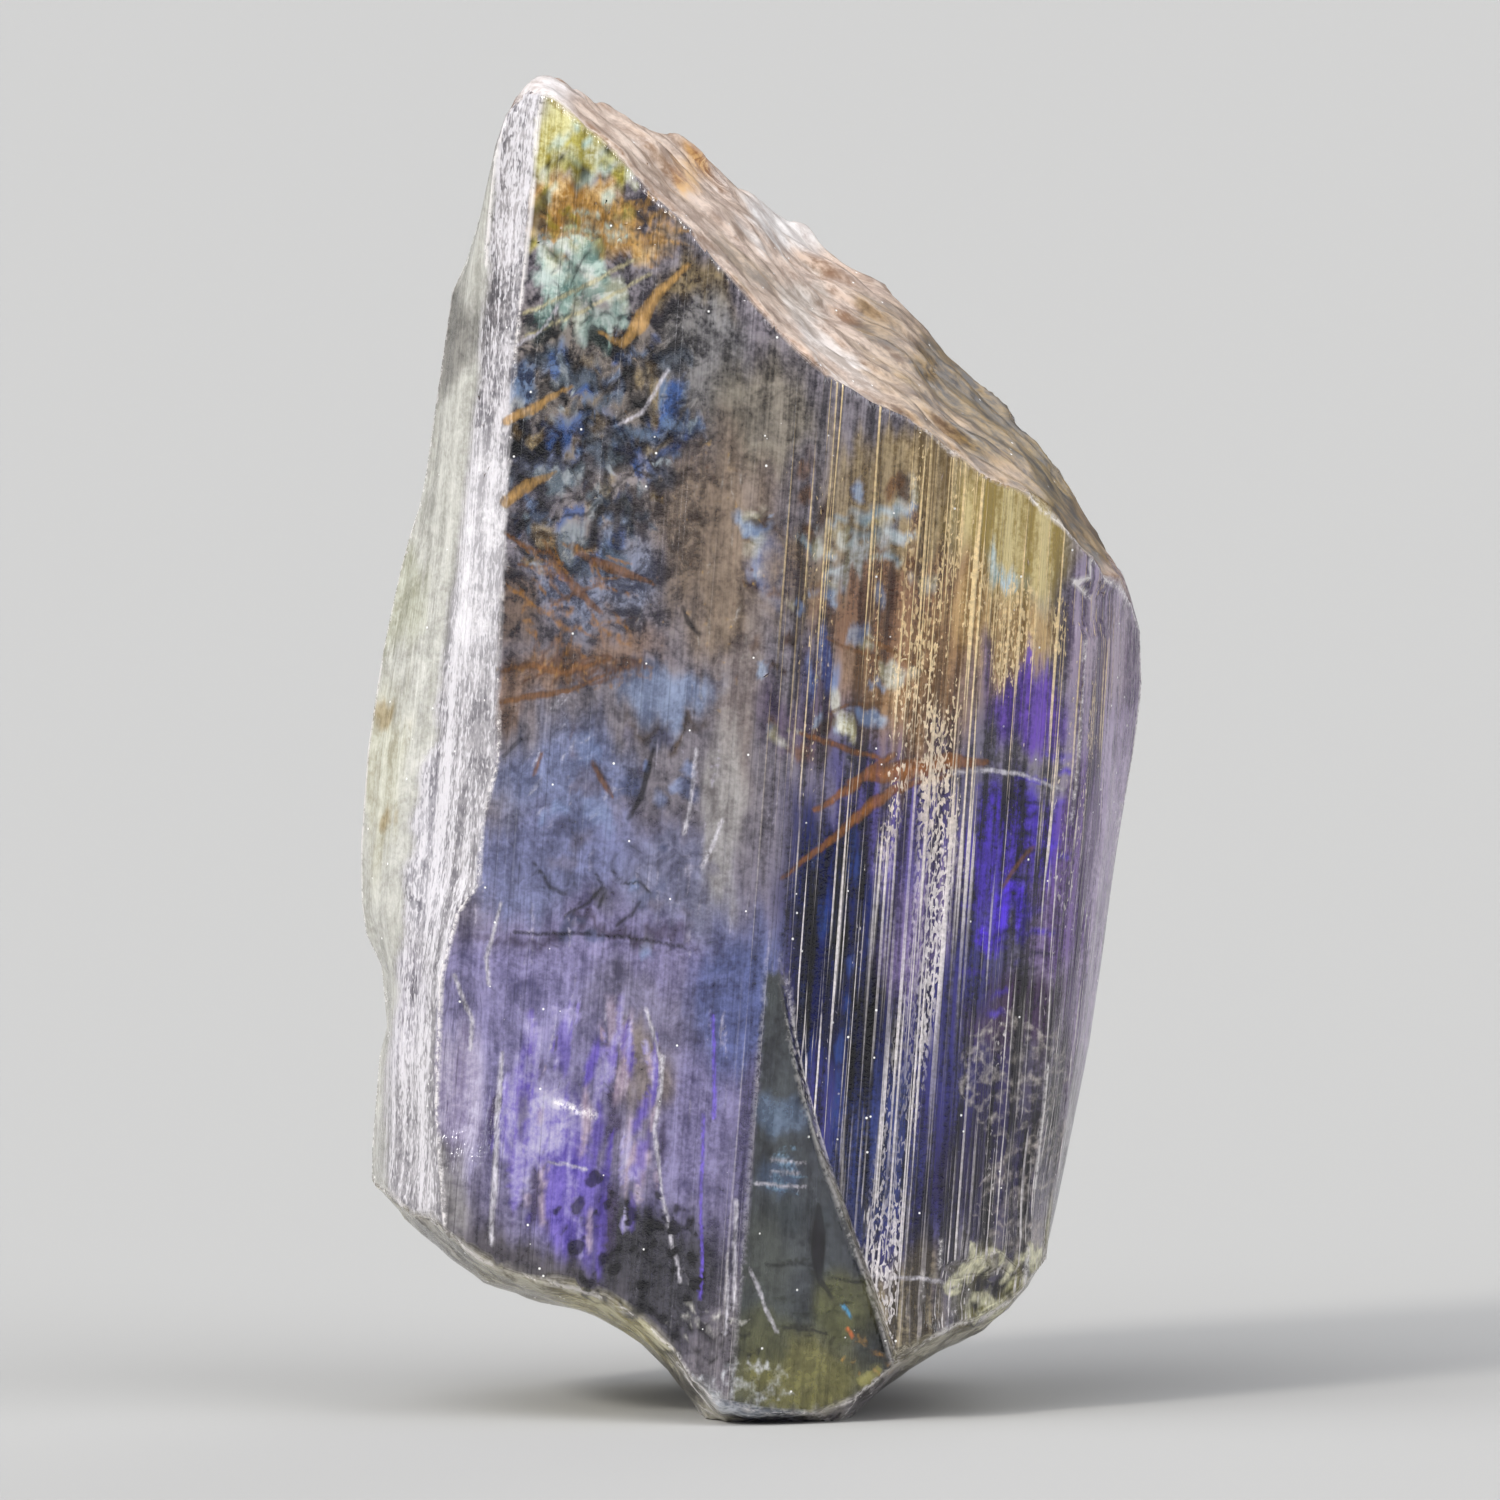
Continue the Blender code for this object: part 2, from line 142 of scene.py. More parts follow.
def makeStone():
    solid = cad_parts["crystal"]
    mesh = solid.data.copy()
    mesh.name = "stone"
    mesh.materials.clear()
    shape = bmesh.new()
    shape.from_mesh(mesh)
    bmesh.ops.remove_doubles(shape, verts=shape.verts[:], dist=0.0005 * mm)
    shape.normal_update()
    # the solid's sharp edges are kept in mind: they are painted pale, a painted highlight along them that also stands
    # for chipping
    for edge in shape.edges:
        edge.seam = len(edge.link_faces) == 2 and edge.calc_face_angle() > math.radians(24)
    # long edges are halved until the painted lines have room
    for turn in range(9):
        front = {edge for face in shape.faces for edge in face.edges if face.normal.y < -0.3}
        end = {edge for face in shape.faces for edge in face.edges
               if face.normal.z > 0.45 and face.calc_center_median().z > 13.5 * mm}
        ordered = list(front)
        middles = np.array([((edge.verts[0].co + edge.verts[1].co) / 2)[:] for edge in ordered]) / mm
        beside = {edge for edge, near in zip(ordered, besideVeins(middles)) if near}
        long = [edge for edge in shape.edges if edge.calc_length() > mm * stone[
            "veinSide" if edge in beside else "frontSide" if edge in front else
            "endSide" if edge in end else "backSide"]]
        if not long:
            break
        bmesh.ops.subdivide_edges(shape, edges=long, cuts=1)
        bmesh.ops.triangulate(shape, faces=[face for face in shape.faces if len(face.verts) > 3])
        shape.normal_update()
    # the rough end and the foot lose the solid's coarse facets
    rough = [vertex for vertex in shape.verts
             if vertex.co.z > 13.5 * mm and vertex.normal.z > 0.42
             or vertex.co.z < 6.0 * mm and vertex.normal.z < -0.35 and vertex.co.z > 0.02 * mm]
    for turn in range(8):
        bmesh.ops.smooth_vert(shape, verts=rough, factor=0.5, use_axis_x=True, use_axis_y=True, use_axis_z=True)
    shape.normal_update()
    masks = {name: [] for name in ("frost", "rim", "end", "foot", "pane", "striae", "edge")}
    moves = []
    for vertex in shape.verts:
        point = vertex.co / mm
        regions = regionsOf(point, vertex.normal)
        nearFront = smooth(0.5, 0.1, abs(point.x - along(stone["frontEdge"], point.z)))
        nearFront = max(nearFront, 0.6 * smooth(0.5, 0.1, abs(point.x - along(stone["paneSide"], point.z)))
                        * smooth(8.5, 8.0, point.z))
        nearFront *= 0.7 + 0.3 * smooth(8.0, 9.0, point.z)
        # where the painted edge highlight lies: on the sharp edges, less near the front edge, on the end and on faces
        # turned away
        onEdge = any(edge.seam for edge in vertex.link_edges)
        regions["edge"] = (1.0 if onEdge else 0.0) * (1.0 - nearFront) * (1.0 - 0.7 * regions["end"])
        regions["edge"] *= 1.0 - 0.8 * smooth(-0.1, 0.3, vertex.normal.y)
        for name in masks:
            masks[name].append(regions[name])
        side = (1.0 - regions["end"]) * (1.0 - regions["foot"]) * (1.0 - regions["pane"])
        move = 0.0
        if side > 0.0:
            grow = 0.35 + 0.65 * regions["striae"]
            move += side * grow * stone["striaDepth"] * stretchedNoise(point, stone["striaWidth"], 9.0, 3.0) * 2.0
            move += side * stone["sideLumpDepth"] * stretchedNoise(point, stone["sideLumpSize"], 4.0, 7.0)
        if regions["end"] > 0.0:
            # ledges that run down the slope, broken by pits
            down = point.x * 0.74 - point.z * 0.67
            ledge = noise.noise(Vector((down / 2.6, point.y / stone["endLedgeWidth"], point.z / 6.0)))
            ledge = math.floor(ledge * 5.0) / 5.0 + smooth(0.6, 1.0, ledge * 5.0 % 1.0) / 5.0
            # glassy chips: hollows that meet in sharp crests
            bent = point + noise.noise_vector(point * 1.3) * 0.35
            chips = noise.voronoi(bent / stone["endChipSize"])[0]
            small = noise.voronoi(bent / stone["endFlakeSize"])[0]
            move += regions["end"] * (stone["endChipDepth"] * (chips[0] - 0.4) + stone["endFlakeDepth"] * (small[0] - 0.4)
                                      + stone["endLedgeDepth"] * ledge)
        if regions["foot"] > 0.0 and point.z > 0.03:
            move += regions["foot"] * stone["footGrainDepth"] * noise.noise(point / stone["footGrainSize"]) * 1.5
        moves.append(move)
    for vertex, move in zip(shape.verts, moves):
        vertex.co += vertex.normal * move * mm
        vertex.co.z = max(0.0, vertex.co.z)
    shape.to_mesh(mesh)
    shape.free()
    mesh.shade_smooth()
    mesh.set_sharp_from_angle(angle=math.radians(32))
    return mesh, {name: np.array(values) for name, values in masks.items()}


# Colour zones of the stone: across, height, half width, half height in mm, turn in degrees,
# the colour where it is clean, the colour where it is dark, strength
zones = {
    "violet ground": (-2.60, 6.40, 4.60, 5.60, 0, "#A8A0CC", "#4A4468", 1.00),
    "navy ground": (2.60, 7.20, 3.40, 8.20, 4, "#3A3880", "#080724", 1.00),
    "lilac right": (6.50, 12.00, 1.20, 7.50, 5, "#B4A2C4", "#4E3E60", 1.00),
    "olive tip": (-3.47, 23.5, 0.85, 1.25, 0, "#FAF4B4", "#AC9C3C", 1.00),
    "cream facets": (-2.92, 23.24, 0.88, 0.60, 30, "#EDECCB", "#A39A48", 0.90),
    "gold veil": (-2.92, 22.05, 1.85, 0.62, 8, "#F8D294", "#AC7C34", 1.00),
    "mint facet": (-3.20, 21.20, 0.85, 0.85, 0, "#FAFFFA", "#B4CCC0", 1.00),
    "mint facet low": (-3.59, 20.27, 0.79, 0.46, -20, "#CCE0D6", "#566862", 0.80),
    "dark upper": (-2.55, 19.35, 2.73, 1.71, 20, "#AC9F94", "#181416", 0.95),
    "tan under edge": (-1.03, 20.64, 1.07, 0.60, 40, "#9C875A", "#3E2F1A", 0.85),
    "blue upper": (-3.29, 18.12, 1.16, 0.69, -15, "#94A0C4", "#101018", 0.95),
    "grey upper": (-0.84, 19.35, 1.07, 1.39, 10, "#AAA8A8", "#343234", 0.80),
    "olive shoulder": (0.27, 18.61, 1.39, 1.39, 0, "#A29884", "#3E382E", 0.80),
    "slate upper": (-2.44, 16.79, 1.44, 1.34, 0, "#D0C4C0", "#605654", 0.95),
    "slate band": (-2.92, 15.49, 1.76, 0.97, 0, "#B4BCD6", "#4A4E62", 0.95),
    "tan cloud": (-0.51, 16.23, 1.53, 2.59, 0, "#A69078", "#3E3024", 0.90),
    "dark nook": (-4.33, 14.83, 0.83, 1.16, 0, "#7E6858", "#1B151A", 0.90),
    "brown band": (-3.36, 13.68, 2.41, 0.56, -18, "#A88C7C", "#3A2A24", 1.00),
    "slate patch": (-1.36, 13.42, 1.34, 0.60, 0, "#9DAECF", "#5C6684", 0.85),
    "brown smear": (-1.51, 12.79, 1.0, 0.16, 0, "#5C4A3A", "#221A1A", 0.85),
    "tan pillar": (-0.21, 13.08, 0.56, 2.55, 4, "#AEA199", "#625452", 0.80),
    "pale blue spot": (0.42, 15.68, 0.5, 0.85, 0, "#A8C0EC", "#5470B0", 0.80),
    "brown middle": (1.16, 15.57, 1.20, 1.39, 0, "#AE9474", "#40301F", 0.90),
    "purple brown": (0.94, 13.19, 1.02, 1.39, 0, "#6C5A76", "#221632", 0.85),
    "periwinkle top": (-3.51, 11.93, 1.71, 1.11, 0, "#9AA4D0", "#484C68", 0.95),
    "periwinkle": (-3.59, 10.27, 2.22, 1.34, 0, "#9CA2D2", "#505270", 0.95),
    "periwinkle right": (-1.36, 9.90, 1.44, 1.39, 0, "#9C9EBE", "#4A4A62", 0.90),
    "pale scar": (-0.55, 11.01, 0.51, 2.13, 3, "#CBC7C3", "#77706F", 0.85),
    "mauve line": (-2.59, 8.71, 3.47, 0.19, 2, "#5A4E68", "#352C42", 0.80),
    "mauve": (-4.33, 7.45, 2.22, 1.44, 0, "#ACA4D4", "#504C72", 0.90),
    "mauve grey": (-1.96, 7.30, 1.44, 1.20, 0, "#9C96B0", "#484456", 0.70),
    "blue patch": (-0.29, 7.9, 1.0, 2.2, 8, "#6478B8", "#242C4E", 0.70),
    "tan feather": (-1.99, 6.38, 0.79, 0.97, -25, "#B0A090", "#4E443E", 0.80),
    "lavender left": (-5.40, 6.00, 0.75, 1.9, 0, "#D8D0E8", "#84789C", 0.95),
    "lavender glow": (-3.88, 5.45, 0.97, 1.39, 0, "#F0EAFF", "#7A64D0", 1.00),
    "violet glow low": (-3.18, 4.08, 0.79, 1.44, 0, "#A08AF6", "#4632A0", 0.95),
    "grey low left": (-5.81, 4.00, 0.93, 1.44, 0, "#B2AEAA", "#646060", 0.85),
    "tan mauve": (-2.14, 5.11, 0.93, 1.16, 0, "#B0A6C0", "#504A60", 0.70),
    "graphite cloud": (-1.81, 2.97, 1.8, 1.6, 15, "#504E56", "#08080C", 1.00),
    "grey foot": (-4.03, 2.6, 2.4, 1.1, 12, "#6A646C", "#221E26", 1.00),
    "gold under ribs": (3.1, 14.6, 1.9, 2.9, 4, "#B48E66", "#644628", 1.00),
    "violet under ribs": (3.0, 10.2, 1.1, 2.8, 4, "#9C88BC", "#443868", 0.95),
    "gold shoulder": (4.7, 14.6, 1.2, 1.0, -15, "#D8B47C", "#80602C", 0.95),
    "gold right": (2.79, 17.05, 1.95, 1.53, 0, "#CCB486", "#6E5830", 0.95),
    "white glint": (2.08, 15.94, 0.95, 0.36, -5, "#DCE4E8", "#857F62", 0.80),
    "olive right": (4.79, 16.35, 1.62, 1.62, 20, "#F0DC9C", "#A89048", 0.95),
    "teal glint": (4.72, 15.49, 0.42, 0.28, 0, "#D8F0FA", "#90A8A0", 0.90),
    "rust right": (2.27, 14.83, 1.67, 0.93, 0, "#A87C5C", "#44281C", 0.80),
    "blue glint": (1.34, 13.82, 0.6, 0.32, 0, "#8CA8DC", "#28387A", 0.75),
    "violet top": (5.01, 13.23, 0.83, 1.16, 0, "#7A54C8", "#321C68", 1.00),
    "lavender edge high": (6.72, 14.01, 0.93, 1.39, 0, "#C0AEC0", "#62526E", 0.90),
    "violet middle": (2.79, 11.23, 1.62, 1.16, 0, "#6C60AA", "#221C40", 0.90),
    "navy": (1.60, 9.75, 1.44, 2.41, 4, "#141D58", "#01010A", 1.00),
    "deep navy": (1.80, 7.52, 1.40, 2.4, 4, "#0C1244", "#010106", 1.00),
    "violet": (4.86, 10.60, 1.25, 1.44, 0, "#5236C8", "#100828", 1.00),
    "violet glow": (4.72, 9.27, 0.69, 0.42, 0, "#6238FF", "#1A0A66", 1.00),
    "purple right": (5.94, 10.12, 0.93, 2.55, 4, "#7E5CA8", "#2E1A48", 0.90),
    "plum": (4.98, 7.23, 1.34, 1.48, 0, "#4A3458", "#0C0712", 1.00),
    "lavender edge": (6.61, 9.38, 0.56, 4.4, 5, "#DCCAE8", "#7A6A8C", 0.95),
    "navy low": (2.27, 5.00, 1.07, 2.13, 4, "#34407C", "#06081A", 1.00),
    "plum low": (4.35, 4.67, 1.62, 2.32, 4, "#2E2654", "#08060F", 1.00),
    "tan low": (2.83, 1.67, 0.79, 1.16, 0, "#B8A880", "#463E32", 0.85),
    "yellow rubble": (4.68, 2.19, 1.44, 0.93, -38, "#E6E2AC", "#6E6838", 0.95),
}

# Each region of the skin: its own colours, clean and dark, how clear and how dull it is, and its zones
regionLooks = {
    "frost": {"light": "#D0CBCE", "dark": "#6A666C", "clear": 0.15, "dull": 0.50, "zones": [
        (-6.57, 7.52, 0.69, 1.6, 0, "#C4BEC8", "#544F58", 0.85),
        (-6.01, 10.6, 0.75, 2.4, 3, "#CAC6CC", "#5E5A64", 0.90),
        (-4.9, 15.9, 1.0, 2.8, 5, "#F6F2F4", "#A8A4A8", 1.00),
        (-5.2, 20.2, 0.9, 2.2, 6, "#A8A2A4", "#484448", 0.95),
        (-4.7, 22.8, 0.9, 1.6, 6, "#B0AAAC", "#5C585C", 0.95),
    ]},
    "rim": {"light": "#ECEAE0", "dark": "#A4A298", "clear": 0.30, "dull": 0.20, "zones": [
        (-6.75, 11.42, 0.51, 2.55, 5, "#F0EFDD", "#AFA98F", 0.90),
        (-6.51, 14.94, 0.56, 1.39, 10, "#D8D8C4", "#8C8A6C", 0.80),
        (-6.63, 12.71, 0.32, 0.37, 0, "#C4B084", "#8A7444", 0.80),
        (-6.70, 10.86, 0.28, 0.32, 0, "#C4B084", "#8A7444", 0.80),
        (-5.55, 19.76, 0.56, 1.39, 12, "#A8A49C", "#55524C", 0.95),
        (-5.46, 21.05, 0.37, 0.42, 10, "#8E8A80", "#3E3A34", 0.80),
        (-6.63, 4.56, 0.46, 1.16, 0, "#D6D4D0", "#77746E", 0.80),
    ]},
    "pane": {"light": "#6A7272", "dark": "#181C1E", "clear": 0.55, "dull": 0.00, "zones": [
        (0.42, 5.67, 0.93, 0.32, 0, "#9CB4D0", "#40566E", 0.95),
        (0.75, 4.65, 0.60, 0.51, 0, "#6C86A8", "#1C2C3E", 0.90),
        (0.94, 3.82, 0.93, 0.46, 0, "#5E6A6C", "#20282A", 0.90),
        (0.19, 3.08, 0.93, 1.16, 0, "#70766C", "#2A2E2A", 0.90),
        (1.23, 3.22, 0.25, 1.02, 0, "#3A3C38", "#121412", 0.95),
        (1.86, 2.15, 0.79, 0.79, 0, "#8E9058", "#3C3C1A", 0.90),
        (0.94, 1.00, 1.53, 1.02, 0, "#B4AE64", "#565220", 0.95),
        (0.19, 1.59, 0.69, 0.69, 0, "#7C7E58", "#33341E", 0.90),
        (2.20, 0.89, 0.28, 0.21, 0, "#F0EC9C", "#B8AE50", 0.95),
    ]},
    "end": {"light": "#DCC2AE", "dark": "#86644A", "clear": 0.12, "dull": 0.30, "zones": [
        (4.5, 18.4, 3.2, 2.2, 40, "#BC9C74", "#5A4024", 0.80),
        (-3.9, 24.4, 0.9, 0.5, 20, "#F0EAEA", "#C0B4AE", 0.95),
        (-2.03, 23.37, 1.39, 0.93, 40, "#DCC4B0", "#8E6C50", 0.90),
        (-1.03, 23.05, 0.46, 0.51, 0, "#DFB070", "#8A5626", 0.95),
        (0.57, 21.87, 1.20, 0.46, 38, "#FAF4F0", "#C4B8B2", 0.95),
        (-0.14, 21.20, 1.07, 0.36, 42, "#B89C7C", "#5A4428", 0.80),
        (0.94, 20.50, 0.69, 0.42, 42, "#E4D8CE", "#94806C", 0.85),
        (1.53, 19.64, 1.39, 0.32, 42, "#ECE2DC", "#A08E80", 0.90),
        (2.42, 19.94, 0.9, 0.5, 40, "#A4865E", "#4A3418", 0.90),
        (2.88, 18.92, 1.3, 0.4, 36, "#C8AC8C", "#705236", 0.85),
        (3.72, 18.98, 1.2, 0.7, 34, "#98783C", "#2E1E0A", 0.95),
        (4.64, 18.09, 1.2, 0.7, 40, "#9C7C3C", "#2A1C08", 0.95),
        (5.75, 17.16, 1.1, 0.9, 50, "#9C7E3A", "#2A1C08", 0.95),
        (6.12, 16.05, 0.9, 0.9, 60, "#94743C", "#2C1E0C", 0.95),
    ]},
    "foot": {"light": "#D8D2BC", "dark": "#7C745C", "clear": 0.25, "dull": 0.12, "zones": [
        (0.12, 0.63, 1.3, 0.9, 20, "#F4F8FF", "#78808C", 1.00),
        (-2.60, 1.9, 1.6, 0.6, 25, "#F4ECC0", "#A89C60", 1.00),
        (-1.10, 0.70, 0.69, 0.51, 40, "#4A4238", "#15120E", 0.90),
        (2.23, 0.41, 1.39, 0.42, -22, "#8E888C", "#2C282C", 0.90),
        (0.75, -0.04, 0.93, 0.23, 0, "#C4C0B2", "#66625A", 0.90),
        (-5.74, 3.08, 0.93, 0.69, 35, "#C2BEB6", "#5E5A56", 0.85),
    ]},
}

# Windows where the skin is clean enough to look in: across, height, half width, half height, turn, clearness
windows = {
    "upper": (-2.5, 17.6, 2.6, 4.6, 0, 0.6),
    "slate": (-2.2, 10.6, 2.6, 2.6, 0, 0.42),
    "lavender": (-3.3, 5.2, 2.4, 2.6, 0, 0.45),
    "pane": (0.8, 3.0, 2.0, 4.5, 0, 0.6),
    "navy": (1.8, 8.5, 1.4, 5.5, 4, 0.05),
    "violet": (4.9, 8.5, 1.6, 5.5, 4, 0.2),
    "gold": (2.2, 16.0, 2.2, 2.6, 0, 0.5),
}

# Silver dust and etch marks: across, height, half width, half height, turn, how thick it lies
dusts = {
    "striae high": (3.1, 15.2, 1.1, 4.2, 4, 0.75),
    "striae middle": (3.05, 9.5, 1.15, 5.8, 4, 1.0),
    "striae low": (2.3, 3.4, 1.0, 3.8, 4, 0.9),
    "gold shoulder": (4.9, 14.7, 1.4, 1.3, -20, 0.8),
    "right side": (5.9, 11.6, 0.6, 3.2, 4, 0.55),
    "striae left": (1.2, 14.6, 0.9, 4.4, 4, 0.25),
    "plum dust": (4.7, 6.9, 1.3, 1.1, 0, 0.45),
    "plum dust low": (4.5, 4.4, 1.2, 1.6, -30, 0.35),
    "rubble edge": (4.3, 2.1, 1.5, 1.2, -35, 0.4),
}


